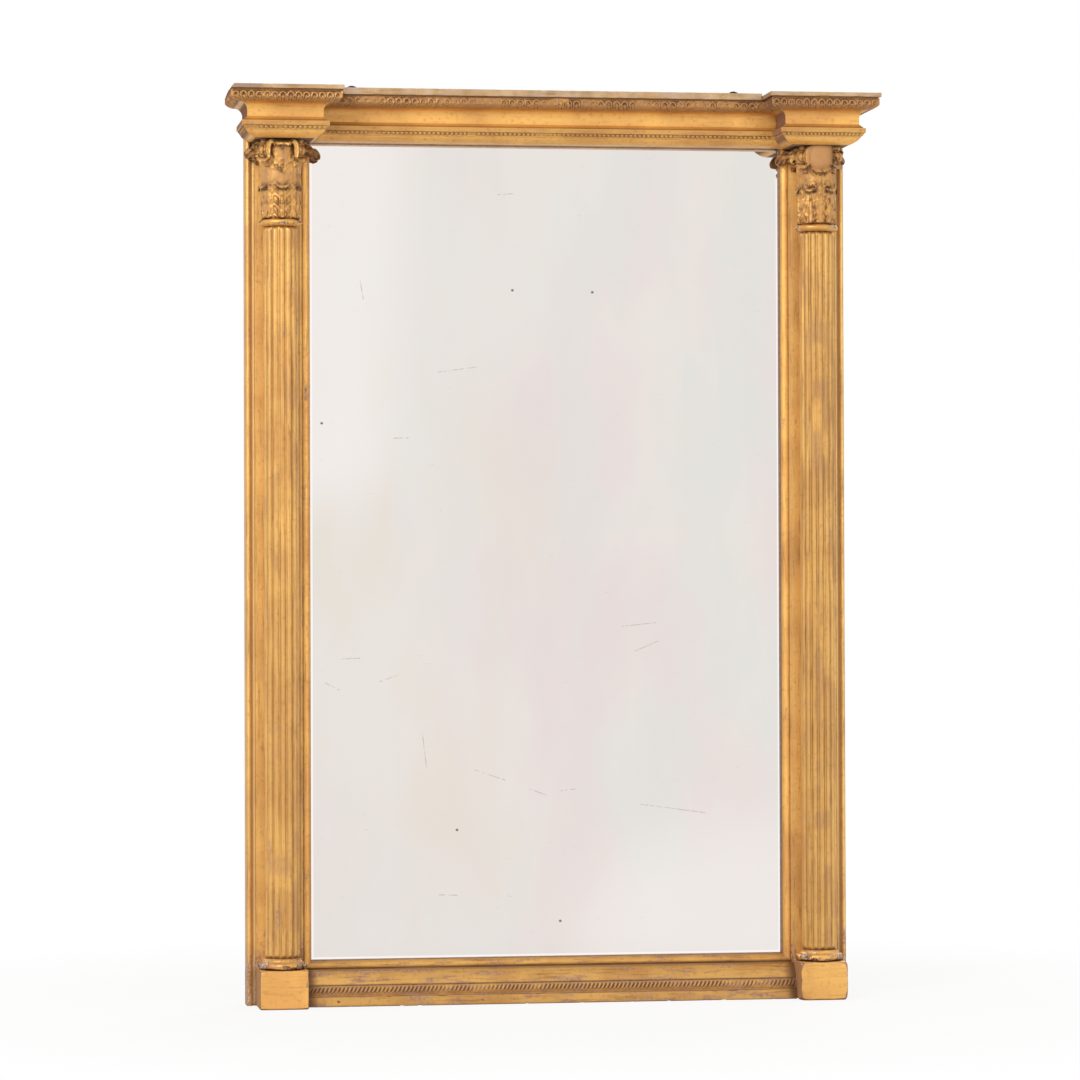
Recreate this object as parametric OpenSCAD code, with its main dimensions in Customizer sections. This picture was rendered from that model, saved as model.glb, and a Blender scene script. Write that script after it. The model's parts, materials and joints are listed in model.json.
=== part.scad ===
// Giltwood pier mirror with reeded Corinthian columns and a breakfront cornice.
// X runs across the glass, Z is up, and the wall plane is y = 0 with the front towards -Y.
// Depths are counted forward from the wall, so depth d lies at y = -d.
// The origin is the middle of the bottom edge of the wall face. All sizes are in millimetres.

/* [Back frame] */
// Width of a stile
stile_w = 81.5; // [78:0.5:90]
// Thickness of the stiles and rails at their flat face
frame_t = 30; // [28:1:36]
// Thickness of the half-lapped tongue at each corner
lap_t = 15; // [12:1:17]
// Width of the round bead on the outer edge of a stile
edge_bead_w = 7.5; // [6:0.5:9]
// Width of the groove inside that bead
edge_groove_w = 6; // [4:0.5:7]
// Diameter of the wooden pegs through the corner laps
peg_d = 8; // [6:1:10]
// Length of those pegs
peg_l = 24; // [20:1:26]

/* [Glass and sight edge] */
// Width of the sight opening
sight_w = 687; // [560:1:800]
// Height of the bottom of the sight opening
sight_bottom = 62.5; // [60:0.5:66]
// Height of the sight opening
sight_h = 1169.5; // [900:0.5:1400]
// Width of the sight slip
slip_w = 11.5; // [10:0.5:13]
// Depth of the front of the sight slip
slip_front = 27.6; // [26:0.2:29]
// Depth of the front of the glass
glass_front = 15; // [14:0.5:17]
// Thickness of the glass
glass_t = 4; // [3:0.5:5]
// Thickness of the silvering sheet behind the glass
silver_t = 0.2; // [0.2:0.1:0.4]
// Room between the edge of the glass and the frame
glass_room = 3; // [2:0.5:4]
// Length of the wedges that hold the glass
wedge_l = 45; // [30:1:60]
// Reach of a wedge inward from the frame
wedge_w = 14; // [11:1:18]

/* [Backboards] */
// Thickness of the backboards
board_t = 6; // [5:0.5:6]
// Width of the rebate that takes the backboards
board_lap = 10; // [8:0.5:11]
// Number of backboards
board_n = 4; // [4]
// Gap between neighbouring boards
board_gap = 0.6; // [0.2:0.1:1]
// Length of the nails that hold them
nail_l = 16; // [12:1:18]
// Diameter of a nail
nail_d = 2.2; // [1.8:0.1:2.6]
// Diameter of a nail's head
nail_head_d = 5; // [4:0.5:6]

/* [Columns] */
// Distance of a column's axis from the inner edge of its stile
column_in = 34; // [33:0.5:35]
// Gap between a column's base and the face of the stile
column_gap = 1; // [0.5:0.5:3]
// Side of the square plinth seen from the front
plinth_w = 69; // [66:0.5:70]
// Height of the plinth
plinth_h = 55; // [50:1:60]
// Depth of the plinth's front face
plinth_front = 101; // [98:1:104]
// Radius of the plinth's worn upright edges
plinth_edge_r = 2; // [1:0.5:4]
// Height of the turned base under the shaft
base_h = 16; // [14:1:18]
// Outer radius of the turned base
base_r = 35; // [33:0.5:35]
// Radius of the shaft between its reeds
shaft_core_r = 21.5; // [20:0.5:22]
// Radius of one reed
reed_r = 3.6; // [3.2:0.1:4]
// Number of reeds round the shaft
reed_n = 14; // [13:1:16]
// Height of the astragal ring over the shaft
astragal_h = 10; // [8:1:11]
// Outer radius of the astragal ring
astragal_r = 31; // [29:0.5:33]
// Diameter of the dowels in the columns
dowel_d = 10; // [8:1:12]

/* [Capitals] */
// Height of a capital from its astragal to the soffit
capital_h = 112.5; // [108:0.5:124]
// Radius of the capital's bell at its foot
bell_foot_r = 25; // [24:0.5:26]
// Radius of the bell at its lip
bell_lip_r = 28; // [27:0.5:29]
// Thickness of the abacus
abacus_h = 6; // [5:0.5:7]
// Radius of the abacus at its cut corners
abacus_r = 42; // [40:0.5:44]
// How far the left capital's side leaf reaches over the glass, from the column's axis
left_frond_reach = 56; // [48:1:57]
// How far the right capital's side leaf reaches
right_frond_reach = 50; // [48:1:57]
// Height of the lower tier of leaves over the astragal
lower_leaf_h = 51; // [46:1:54]
// Height of the upper tier of leaves over the astragal
upper_leaf_h = 78; // [72:1:82]
// Height of the upright leaf in the middle of the left capital
centre_leaf_h = 31; // [28:0.5:32]
// Height of the scrolls at the corners, with their stems
corner_scroll_h = 28; // [26:0.5:32]
// Height of the two inner scrolls, with their stems
inner_scroll_h = 29; // [26:0.5:32]

/* [Entablature] */
// How far the soffit over the columns hangs below the top of the sight opening
soffit_drop = 1.5; // [1:0.5:4]
// How far a block over a column reaches in past the inner edge of the stile
block_lap = 10; // [8:0.5:11]
// How far its outer side stands in from the outer edge of the stile
block_inset = 8.5; // [7:0.5:10]
// Depth of the front of a block
block_front = 107; // [104:1:110]
// Distance that the middle of the entablature stands back from the blocks
setback = 60; // [56:1:62]
// Reach of the ovolo at the foot of the entablature
ovolo_out = 14.5; // [13:0.5:16]
// Height of that ovolo
ovolo_h = 9.5; // [8.5:0.5:12]
// Reach of the fillet over the bead strip
fillet_out = 20.5; // [19:0.5:21]
// Height of the bead strip with its fillet
bead_strip_h = 13; // [11:0.5:16]
// Height of the bead strip's fillet
fillet_h = 6.5; // [5:0.5:8]
// Reach of the foot of the cove
waist_out = 12.5; // [11:0.5:14]
// Height of the cove with its foot
cove_h = 26; // [22:0.5:32]
// Radius of the cove
cove_r = 11.5; // [10:0.5:14]
// Height of the weathered slope at the foot of the cove
cove_foot = 6; // [4:0.5:7]
// Reach of the leaf strip
leaf_out = 37; // [36:0.5:38]
// Height of the curve under the leaf strip's upright face
leaf_curve_h = 6; // [5:0.5:8]
// Height of that face
leaf_face_h = 8.5; // [7:0.5:12]
// Height of the fillet over it
leaf_fillet_h = 2.5; // [2:0.5:4]
// Reach of the cornice cap
cap_out = 39.5; // [39:0.5:41]
// Thickness of the cap over the blocks
cap_h = 6; // [5:0.5:8]
// Extra thickness of the middle cap
cap_rise = 3.5; // [1:0.5:5]
// Width of the plain repair let into the middle leaf strip
patch_w = 24; // [20:1:28]

/* [Bottom moulding] */
// Depth of the fillet along the bottom
foot_front = 72; // [70:0.5:74]
// Height of that fillet
foot_h = 14; // [12:0.5:15]
// Depth of the bead strip over it
foot_bead_front = 69; // [66:0.5:70]
// Top of the bead strip
foot_bead_top = 30; // [28:0.5:32]
// Depth of the foot of the sloping moulding over the beads
ogee_front = 65; // [62:0.5:66]
// Depth of the top edge of that moulding
ogee_back = 50; // [46:0.5:52]

/* [Hanging plates and screws] */
// Distance of a hanging plate's middle from the inner edge of the stile
plate_in = 75; // [70:1:120]
// Width of a hanging plate
plate_w = 22; // [18:1:26]
// Thickness of a hanging plate
plate_t = 2.5; // [2:0.5:3]
// How far a hanging plate stands over the caps
plate_rise = 16; // [14:1:20]
// Length of a hanging plate
plate_l = 60; // [56:1:62]
// Diameter of the hole for the wall screw
plate_hole_d = 5; // [4:0.5:6]
// Distance of that hole below the top of the plate
plate_hole_drop = 9; // [7:0.5:9]
// Length of the screws through the back frame
screw_l = 44; // [40:1:46]
// Diameter of those screws
screw_d = 5; // [4:0.5:6]
// Length of the screws in the hanging plates
plate_screw_l = 20; // [15:1:24]
// Diameter of the screws in the hanging plates
plate_screw_d = 4; // [3:0.5:4.5]
// Height of the lower of these screws over the foot of the plate
plate_screw_low = 8; // [6:1:10]
// Distance between the two screws of a plate
plate_screw_gap = 22; // [18:1:24]

/* [Hidden] */
$fn = 48;

gilt = [0.85, 0.62, 0.30];
pine = [0.62, 0.47, 0.30];
iron = [0.20, 0.18, 0.17];
fit = 0.1;          // room round a peg, dowel, nail or screw
past = 1;           // how far a cutting shape runs past the face it cuts
arc_n = 8;          // straight steps in a moulding's curve
reed_steps = 4;     // straight steps in half of a reed's curve
corner_step = 12;   // from the middle of a corner lap up or down to its pegs and screws
dowel_in_plinth = 20;
dowel_in_shaft = 25;
dowel_in_block = 22;
patch_depth = 8;    // from the nose of the leaf strip to the back of the repair

inner_x = sight_w / 2 + slip_w;
outer_x = inner_x + stile_w;
column_x = inner_x + column_in;
column_d = frame_t + base_r + column_gap;
block_in = inner_x - block_lap;
block_out = outer_x - block_inset;
plate_x = inner_x - plate_in;

sight_top = sight_bottom + sight_h;
soffit_z = sight_top - soffit_drop;
ovolo_top = soffit_z + ovolo_h;
fillet_top = ovolo_top + bead_strip_h;
cove_top = fillet_top + cove_h;
leaf_bottom = cove_top + leaf_curve_h;
leaf_top = leaf_bottom + leaf_face_h;
cap_z = leaf_top + leaf_fillet_h;
frame_h = cap_z + cap_h;
capital_foot = soffit_z - capital_h;
shaft_top = capital_foot - astragal_h;
plate_top = frame_h + plate_rise;

rail_bottom = sight_bottom - slip_w;
rail_top = sight_top + slip_w;
glass_back = glass_front - glass_t;
board_x = inner_x + board_lap;
board_z0 = rail_bottom - board_lap;
board_z1 = rail_top + board_lap;
board_w = 2 * board_x / board_n;
beam_front = block_front - setback;
cap_side = block_in - cap_out;
lap_mid = [rail_bottom / 2, (rail_top + frame_h) / 2];
plinth_side = column_x - plinth_w / 2;

// ---- placing shapes ----

// A box from its low and high corners, with depths in place of y.
module slab(x0, x1, d0, d1, z0, z1) {
    translate([x0, -d1, z0]) cube([x1 - x0, d1 - d0, z1 - z0]);
}

// A section drawn in depth and height, run along X.
module along_x(x0, x1) {
    translate([x1, 0, 0]) rotate([90, 0, -90]) linear_extrude(x1 - x0) children();
}

// An outline drawn in x and height, run forward from the wall.
module along_d(d0, d1) {
    translate([0, -d0, 0]) rotate([90, 0, 0]) linear_extrude(d1 - d0) children();
}

// An outline drawn in x and depth, run upward.
module upward(z0, z1) {
    translate([0, 0, z0]) mirror([0, 1, 0]) linear_extrude(z1 - z0) children();
}

// A rod along the depth direction, centred at x, z.
module rod(x, z, d0, d1, dia) {
    translate([x, -d0, z]) rotate([90, 0, 0]) cylinder(d = dia, h = d1 - d0);
}

module left() {
    mirror([1, 0, 0]) children();
}

module both_sides() {
    children();
    left() children();
}

// Points on an arc from p to q that bulges to the right of the way from p to q.
function arc(p, q, bulge, n = arc_n) =
    let (dx = q[0] - p[0], dy = q[1] - p[1], c = norm([dx, dy]),
         r = (c * c / 4 + bulge * bulge) / (2 * abs(bulge)),
         s = bulge > 0 ? 1 : -1,
         nx = dy / c * s, ny = -dx / c * s,
         mx = (p[0] + q[0]) / 2 - nx * (r - abs(bulge)),
         my = (p[1] + q[1]) / 2 - ny * (r - abs(bulge)),
         a0 = atan2(p[1] - my, p[0] - mx),
         turn = 2 * asin(c / 2 / r) * s)
    [for (i = [0:n]) [mx + r * cos(a0 + turn * i / n), my + r * sin(a0 + turn * i / n)]];

// ---- fasteners, drawn once and used for both the piece and its hole ----

function corner_peg_places() = [for (i = [0, 1]) each
    [[inner_x + stile_w * 0.25, lap_mid[i] - corner_step],
     [inner_x + stile_w * 0.75, lap_mid[i] + corner_step]]];

function corner_screw_places() = [for (i = [0, 1]) each
    [[inner_x + stile_w * 0.25, lap_mid[i] + corner_step],
     [inner_x + stile_w * 0.75, lap_mid[i] - corner_step]]];

function rail_screw_places() = [for (z = [(foot_h + foot_bead_top) / 2, (rail_top + frame_h) / 2])
    for (i = [-1, 0, 1]) [i * sight_w * 0.3, z]];

function nail_places() = concat(
    [for (i = [0:board_n - 1]) for (s = [-1, 1])
        for (z = [board_z0 + board_lap / 2, board_z1 - board_lap / 2])
            [-board_x + board_w * (i + 0.5 + s * 0.3), z]],
    [for (s = [-1, 1]) for (i = [1:3])
        [s * (inner_x + board_lap / 2), board_z0 + (board_z1 - board_z0) * i / 4]]);

module countersunk_screw(x, z, dia, len, room = 0) {
    rod(x, z, 0, len + room, dia + 2 * room);
    translate([x, 0, z]) rotate([90, 0, 0])
        cylinder(d1 = 2 * dia + 2 * room, d2 = dia + 2 * room, h = dia / 2);
}

module frame_screws(room = 0) {
    both_sides() for (p = corner_screw_places()) countersunk_screw(p[0], p[1], screw_d, screw_l, room);
    for (p = rail_screw_places()) countersunk_screw(p[0], p[1], screw_d, screw_l, room);
}

module pegs(room = 0) {
    both_sides() for (p = corner_peg_places()) rod(p[0], p[1], 0, peg_l + room, peg_d + 2 * room);
}

module nails(room = 0) {
    for (p = nail_places()) {
        rod(p[0], p[1], 0, nail_l + room, nail_d + 2 * room);
        rod(p[0], p[1], 0, 1 + room, nail_head_d + 2 * room);
    }
}

// Two dowels a column: plinth to shaft, and shaft through the capital to the block above.
module dowels(room = 0) {
    for (z = [[plinth_h - dowel_in_plinth, plinth_h + base_h + dowel_in_shaft],
              [shaft_top - dowel_in_shaft, soffit_z + dowel_in_block]])
        translate([column_x, -column_d, z[0] - room])
            cylinder(d = dowel_d + 2 * room, h = z[1] - z[0] + 2 * room);
}

// ---- back frame ----

module board_rebate() {
    slab(-board_x, board_x, -past, board_t, board_z0, board_z1);
}

module plate_recess() {
    both_sides() slab(plate_x - plate_w / 2 - fit, plate_x + plate_w / 2 + fit,
        -past, plate_t, plate_top - plate_l - fit, plate_top + past);
}

// Front of a stile from the glass side out: flat band, groove, round bead.
module stile_section() {
    groove_x = outer_x - edge_bead_w - edge_groove_w;
    bead_x = outer_x - edge_bead_w;
    quirk = 3;
    polygon(concat(
        [[inner_x, 0], [inner_x, frame_t - quirk], [inner_x + quirk, frame_t - quirk],
         [inner_x + 2 * quirk, frame_t]],
        arc([groove_x, frame_t], [bead_x, frame_t], edge_groove_w / 3),
        arc([bead_x, frame_t], [outer_x, frame_t], -(edge_bead_w / 2 - fit)),
        [[outer_x, 0]]));
}

module stile_right() color(gilt) difference() {
    upward(0, frame_h) stile_section();
    slab(inner_x - past, outer_x + past, -past, lap_t, -past, rail_bottom);
    slab(inner_x - past, outer_x + past, -past, lap_t, rail_top, frame_h + past);
    board_rebate();
    pegs(fit);
    frame_screws(fit);
    nails(fit);
}

module stile_left() left() stile_right();

module rail(z0, z1) {
    slab(-outer_x, outer_x, 0, lap_t, z0, z1);
    slab(-inner_x, inner_x, lap_t, frame_t, z0, z1);
}

module top_rail() color(pine) difference() {
    rail(rail_top, frame_h);
    board_rebate();
    plate_recess();
    pegs(fit);
    frame_screws(fit);
    nails(fit);
    both_plates() plate_screws_at(fit);
}

module bottom_rail() color(pine) difference() {
    rail(0, rail_bottom);
    board_rebate();
    pegs(fit);
    frame_screws(fit);
    nails(fit);
}

module corner_pegs() color(pine) pegs();

// ---- sight slips, mitred at the corners ----

// From the frame inward: a flat seat, then a rounded nose down to the glass.
slip_section = concat([[0, glass_front], [0, slip_front]],
    arc([0, slip_front], [slip_w, slip_front - 5], -2.4), [[slip_w, glass_front]]);

module slip_miter(x, z_frame, z_sight) {
    along_d(glass_front - past, slip_front + past)
        polygon([[-inner_x, z_frame], [inner_x, z_frame], [x, z_sight], [-x, z_sight]]);
}

module slip_bottom() color(gilt) intersection() {
    along_x(-inner_x, inner_x) polygon([for (p = slip_section) [p[1], rail_bottom + p[0]]]);
    slip_miter(sight_w / 2, rail_bottom, sight_bottom);
}

module slip_top() color(gilt) intersection() {
    along_x(-inner_x, inner_x) polygon([for (p = slip_section) [p[1], rail_top - p[0]]]);
    slip_miter(sight_w / 2, rail_top, sight_top);
}

module slip_right() color(gilt) intersection() {
    upward(rail_bottom, rail_top) polygon([for (p = slip_section) [inner_x - p[0], p[1]]]);
    along_d(glass_front - past, slip_front + past)
        polygon([[inner_x, rail_bottom], [inner_x, rail_top], [sight_w / 2, sight_top],
                 [sight_w / 2, sight_bottom]]);
}

module slip_left() left() slip_right();

// ---- glass and back ----

module mirror_glass() color([0.82, 0.84, 0.83])
    slab(glass_room - inner_x, inner_x - glass_room, glass_back, glass_front,
        rail_bottom + glass_room, rail_top - glass_room);

module silvering() color([0.7, 0.7, 0.72])
    slab(glass_room - inner_x + 2, inner_x - glass_room - 2, glass_back - silver_t, glass_back,
        rail_bottom + glass_room + 2, rail_top - glass_room - 2);

// A three-sided block in the corner between the frame and the back of the glass.
module glass_wedges() color(pine) {
    back = glass_back - silver_t;
    tip = board_t + silver_t;
    both_sides() for (i = [1:3])
        translate([0, 0, rail_bottom + (rail_top - rail_bottom) * i / 4 - wedge_l / 2])
            upward(0, wedge_l)
                polygon([[inner_x, back], [inner_x - wedge_w, back], [inner_x, tip]]);
    for (s = [-1, 1]) for (p = [[rail_bottom, 1], [rail_top, -1]])
        along_x(s * sight_w / 4 - wedge_l / 2, s * sight_w / 4 + wedge_l / 2)
            polygon([[back, p[0]], [back, p[0] + p[1] * wedge_w], [tip, p[0]]]);
}

module backboard(i) color(pine) difference() {
    slab(-board_x + board_w * i + board_gap / 2, -board_x + board_w * (i + 1) - board_gap / 2,
        0, board_t, board_z0 + fit, board_z1 - fit);
    nails(fit);
}

module backboard_nails() color(iron) nails();

// ---- columns ----

module plinth_right() color(gilt) difference() {
    x0 = plinth_side;
    x1 = plinth_side + plinth_w;
    r = plinth_edge_r;
    union() {
        slab(x0, x1, frame_t, plinth_front - r, 0, plinth_h);
        slab(x0 + r, x1 - r, frame_t, plinth_front, 0, plinth_h);
        for (x = [x0 + r, x1 - r])
            translate([x, r - plinth_front, 0]) cylinder(r = r, h = plinth_h);
    }
    dowels(fit);
    frame_screws(fit);
}

module plinth_left() left() plinth_right();

module turned(outline) {
    difference() {
        translate([column_x, -column_d, 0]) rotate_extrude($fn = 96) polygon(outline);
        dowels(fit);
    }
}

// A full torus, a small hollow and a fillet under the shaft.
module column_base_right() color(gilt) {
    torus_h = base_h * 0.66;
    collar_r = shaft_core_r + reed_r + 2;
    turned(concat([[0, plinth_h], [base_r - torus_h / 2, plinth_h]],
        arc([base_r - torus_h / 2, plinth_h], [base_r - torus_h / 2, plinth_h + torus_h],
            torus_h / 2 - fit, 12),
        arc([collar_r + 2, plinth_h + torus_h], [collar_r, plinth_h + base_h - 2], -0.6, 4),
        [[collar_r, plinth_h + base_h], [0, plinth_h + base_h]]));
}

module column_base_left() left() column_base_right();

// The outline of a shaft with rounded reeds all the way round, each standing half out of the core.
module reeded_section() {
    reach = 90 + asin(reed_r / 2 / shaft_core_r);      // half the angle of a reed's arc
    polygon([for (i = [0:reed_n - 1]) let (a = i * 360 / reed_n - 90)
        for (k = [-reed_steps:reed_steps]) let (b = a + k * reach / reed_steps)
            [shaft_core_r * cos(a) + reed_r * cos(b), shaft_core_r * sin(a) + reed_r * sin(b)]]);
}

module shaft_right() color(gilt) difference() {
    translate([column_x, -column_d, plinth_h + base_h])
        linear_extrude(shaft_top - plinth_h - base_h) reeded_section();
    dowels(fit);
}

module shaft_left() left() shaft_right();

module astragal_right() color(gilt) {
    neck_r = shaft_core_r + reed_r;
    bead_r = (astragal_h - 2) / 2;
    turned(concat([[0, shaft_top], [neck_r, shaft_top], [astragal_r - bead_r, shaft_top + 1]],
        arc([astragal_r - bead_r, shaft_top + 1], [astragal_r - bead_r, shaft_top + 1 + 2 * bead_r],
            bead_r - fit, 12),
        [[neck_r, capital_foot], [0, capital_foot]]));
}

module astragal_left() left() astragal_right();

module column_dowels() color(pine) both_sides() dowels();

// ---- capitals ----

// A leaf is two sheets of points joined round the rim. It climbs the bell, its edges step in and out
// as lobes, and its tip rolls over towards the front.
leaf_rows = 8;
leaf_cols = 4;
leaf_thick = 3;
leaf_roll_r = 1.6;
leaf_straight = 5;      // rows below the roll
leaf_n = 8;             // leaves in a tier
lower_leaf_half = 10.6; // half the width of a leaf, tier by tier
upper_leaf_half = 9.5;
centre_leaf_half = 8;
lower_leaf_lean = 2;    // how far a leaf leans out before it rolls over
upper_leaf_lean = 2.5;
centre_leaf_lean = 0.5;
scroll_steps = 8;
scroll_rod_r = 1.6;
scroll_band = 6;        // how thick a scroll is from front to back
web_h = 20;             // height of the block behind the bell
frond_t = 8;
frond_top = 14;         // from the soffit down to the middle of a frond's root
frond_droop = 12;       // from there down to its tip

function leaf_width(i, w) = w * (1 - 0.7 * pow(i / leaf_rows, 4)) * (i % 2 == 1 ? 1 : 0.72);

// Distance out from the bell and height of a point on the middle line of a leaf.
function leaf_spine(i, h, lean, back) =
    let (z0 = h - leaf_roll_r - leaf_thick,
         c = leaf_roll_r + (back ? leaf_thick : 0),
         a = 170 * (i - leaf_straight) / (leaf_rows - leaf_straight))
    i <= leaf_straight ? [lean * i / leaf_straight - (back ? leaf_thick : 0), z0 * i / leaf_straight]
                       : [lean + leaf_roll_r - c * cos(a), z0 + c * sin(a)];

function leaf_point(i, t, r, h, w, lean, back) =
    let (spine = leaf_spine(i, h, lean, back),
         edge_drop = i > leaf_straight ? 0.7 : 2.4,
         out = r + leaf_thick + spine[0] + (back ? 0 : 1.6 * (1 - abs(t)) - edge_drop * t * t),
         a = leaf_width(i, w) * t / r * 180 / PI)
    [out * sin(a), -out * cos(a), spine[1]];

// r is the bell's radius at its foot, h its height, w half its width and lean how far it leans out.
module leaf(r, h, w, lean) {
    across = leaf_cols + 1;
    sheet = across * (leaf_rows + 1);
    points = [for (back = [false, true]) for (i = [0:leaf_rows]) for (j = [0:leaf_cols])
        leaf_point(i, 2 * j / leaf_cols - 1, r, h, w, lean, back)];
    quads = concat(
        [for (i = [0:leaf_rows - 1]) for (j = [0:leaf_cols - 1])
            let (a = i * across + j) [a, a + across, a + across + 1, a + 1]],
        [for (i = [0:leaf_rows - 1]) for (j = [0:leaf_cols - 1])
            let (a = sheet + i * across + j) [a, a + 1, a + across + 1, a + across]],
        [for (j = [0:leaf_cols - 1]) each
            [[j, j + 1, sheet + j + 1, sheet + j],
             [for (k = [0, sheet, sheet + 1, 1]) sheet - across + j + k]]],
        [for (i = [0:leaf_rows - 1]) let (a = i * across, b = a + across - 1) each
            [[a, sheet + a, sheet + a + across, a + across],
             [b, b + across, sheet + b + across, sheet + b]]]);
    polyhedron(points, [for (q = quads) each [[q[0], q[1], q[2]], [q[0], q[2], q[3]]]]);
}

// A scroll in the plane of x and height: a bowed stem, then a winding that closes on its eye.
// turn is the angle at which the winding starts, and dir its sense.
module scroll(foot, eye, r, turn, dir, bow) {
    wind = [for (i = [0:scroll_steps]) let (a = turn + dir * 50 * i, q = r * (1 - 0.68 * i / scroll_steps))
        [eye[0] + q * cos(a), eye[1] + q * sin(a)]];
    path = concat([for (p = arc(foot, wind[0], bow, 3)) p], [for (i = [1:scroll_steps]) wind[i]]);
    for (i = [0:len(path) - 2]) hull() for (p = [path[i], path[i + 1]])
        translate([p[0], 0, p[1]]) rotate([90, 0, 0])
            cylinder(r = scroll_rod_r, h = scroll_band, center = true, $fn = 6);
}

// The square slab under the block, with hollow sides and cut corners.
module abacus() {
    corner = abacus_r / sqrt(2);
    cut = 3;
    side = arc([-corner + cut, -corner - cut / 2], [corner - cut, -corner - cut / 2], -7, 6);
    translate([0, 0, soffit_z - abacus_h]) linear_extrude(abacus_h)
        polygon([for (k = [0:3]) for (p = side)
            [p[0] * cos(90 * k) - p[1] * sin(90 * k), p[0] * sin(90 * k) + p[1] * cos(90 * k)]]);
}

// A leafy scroll that lies on the face of the stile, spreads to one side and droops at its tip.
module side_frond(reach) {
    lobes = [8, 7, 8, 6, 6.5, 3];                      // half widths, from the root to the tip
    root = bell_lip_r - 6;
    last = len(lobes) - 1;
    bend = 80;
    path = [for (i = [0:last]) let (s = i / last)
        [root + (reach - root - lobes[last]) * sin(bend * s) / sin(bend),
         soffit_z - frond_top - frond_droop * pow(s, 3), lobes[i]]];
    for (i = [0:last - 1]) hull() for (p = [path[i], path[i + 1]])
        translate([p[0], column_d - frame_t - frond_t / 2 - 1.5, p[1]]) rotate([90, 0, 0])
            cylinder(r = p[2], h = frond_t, center = true, $fn = 10);
}

// The whole capital about the column's axis, less its middle ornament. turn sets the leaves round,
// and reach is how far the side leaf on the glass side spreads.
module capital_body(turn, reach) {
    top = soffit_z - abacus_h;
    bell_h = top - capital_foot;
    // Bell and fronds are cut from one block, which reaches back to the stile.
    translate([-bell_foot_r, 0, top - web_h]) cube([2 * bell_foot_r, column_d - frame_t, web_h]);
    translate([0, 0, capital_foot]) rotate_extrude($fn = 24)
        polygon(concat([[0, 0], [bell_foot_r, 0]],
            arc([bell_foot_r, 2], [bell_lip_r, bell_h], -2, 4), [[0, bell_h]]));
    abacus();
    pitch = 360 / leaf_n;
    for (k = [0:leaf_n - 1]) rotate(pitch * k + turn) translate([0, 0, capital_foot])
        leaf(bell_foot_r, lower_leaf_h, lower_leaf_half, lower_leaf_lean);
    for (k = [0:leaf_n - 1]) rotate(pitch * (k + 0.5) + turn) translate([0, 0, capital_foot])
        leaf(bell_foot_r - 1, upper_leaf_h, upper_leaf_half, upper_leaf_lean);
    for (k = [0:3]) rotate(90 * k + 45)
        scroll(foot = [bell_lip_r - 1, top - corner_scroll_h], eye = [abacus_r - 8.5, top - 8], r = 6.5,
            turn = 140, dir = -1, bow = -1.5);
    for (s = [0, 1]) mirror([s, 0, 0]) {
        translate([0, -bell_lip_r, 0])
            scroll(foot = [8, top - inner_scroll_h], eye = [12.5, top - 7.5], r = 5.8, turn = 0, dir = 1,
                bow = 2.5);
        side_frond(s == 0 ? outer_x - column_x : reach);
    }
}

module capital(turn, reach) {
    span = 2 * (max(reach, outer_x - column_x) + past);
    translate([column_x, -column_d, 0]) difference() {
        union() {
            capital_body(turn, reach);
            children();
        }
        cylinder(d = dowel_d + 4 * fit, h = 2 * soffit_z, $fn = 24);
        translate([-span / 2, column_d - frame_t - fit, 0]) cube([span, span, 2 * soffit_z]);
    }
}

// A smooth filled-in place over the middle of the right capital, where the carving was lost.
module capital_right() color(gilt) capital(12, right_frond_reach) {
    top_corner = [11, 8];       // across from the axis, and down from the soffit
    low_corner = [9, 25];
    hull() for (p = [top_corner, low_corner], s = [-1, 1])
        translate([s * p[0], 2 - bell_lip_r, soffit_z - p[1]]) sphere(r = 6.5, $fn = 12);
}

// On the left capital an upright leaf still stands between the two inner scrolls.
module capital_left() color(gilt) left() capital(0, left_frond_reach)
    translate([0, 0, soffit_z - abacus_h / 2 - centre_leaf_h])
        leaf(bell_lip_r - 2, centre_leaf_h, centre_leaf_half, centre_leaf_lean);

// ---- entablature ----
// Each moulding is a list of [reach, height] points up its face, counted from the core behind it.
// Over a column it wraps round three sides of the block; in the middle it runs straight.

architrave_face = arc([0, soffit_z], [ovolo_out, ovolo_top], 1.5);

bead_strip_face = [[ovolo_out, ovolo_top], [fillet_out - 1, fillet_top - fillet_h],
    [fillet_out, fillet_top - fillet_h], [fillet_out, fillet_top]];

cove_face = concat([[fillet_out - 2, fillet_top], [waist_out, fillet_top + cove_foot]],
    [for (i = [0:arc_n]) let (a = 90 * i / arc_n)
        [waist_out + cove_r * (1 - cos(a)), cove_top - cove_r + cove_r * sin(a)]]);

leaf_face = concat(arc([waist_out + cove_r, cove_top], [leaf_out, leaf_bottom], 1.5, 5),
    [[leaf_out, leaf_top], [leaf_out - 1.5, leaf_top + 1], [leaf_out - 1.5, cap_z]]);

// The solid within a moulding's face round a block, from depth d0 forward.
module wrapped(face, d0 = frame_t) {
    z0 = face[0][1];
    z1 = face[len(face) - 1][1];
    intersection() {
        along_x(block_in - cap_out - past, block_out + cap_out + past)
            polygon(concat([[d0, z0]], [for (p = face) [block_front + p[0], p[1]]], [[d0, z1]]));
        along_d(d0, block_front + cap_out)
            polygon(concat([for (p = face) [block_out + p[0], p[1]]],
                [for (i = [len(face) - 1:-1:0]) [block_in - face[i][0], face[i][1]]]));
    }
}

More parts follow.
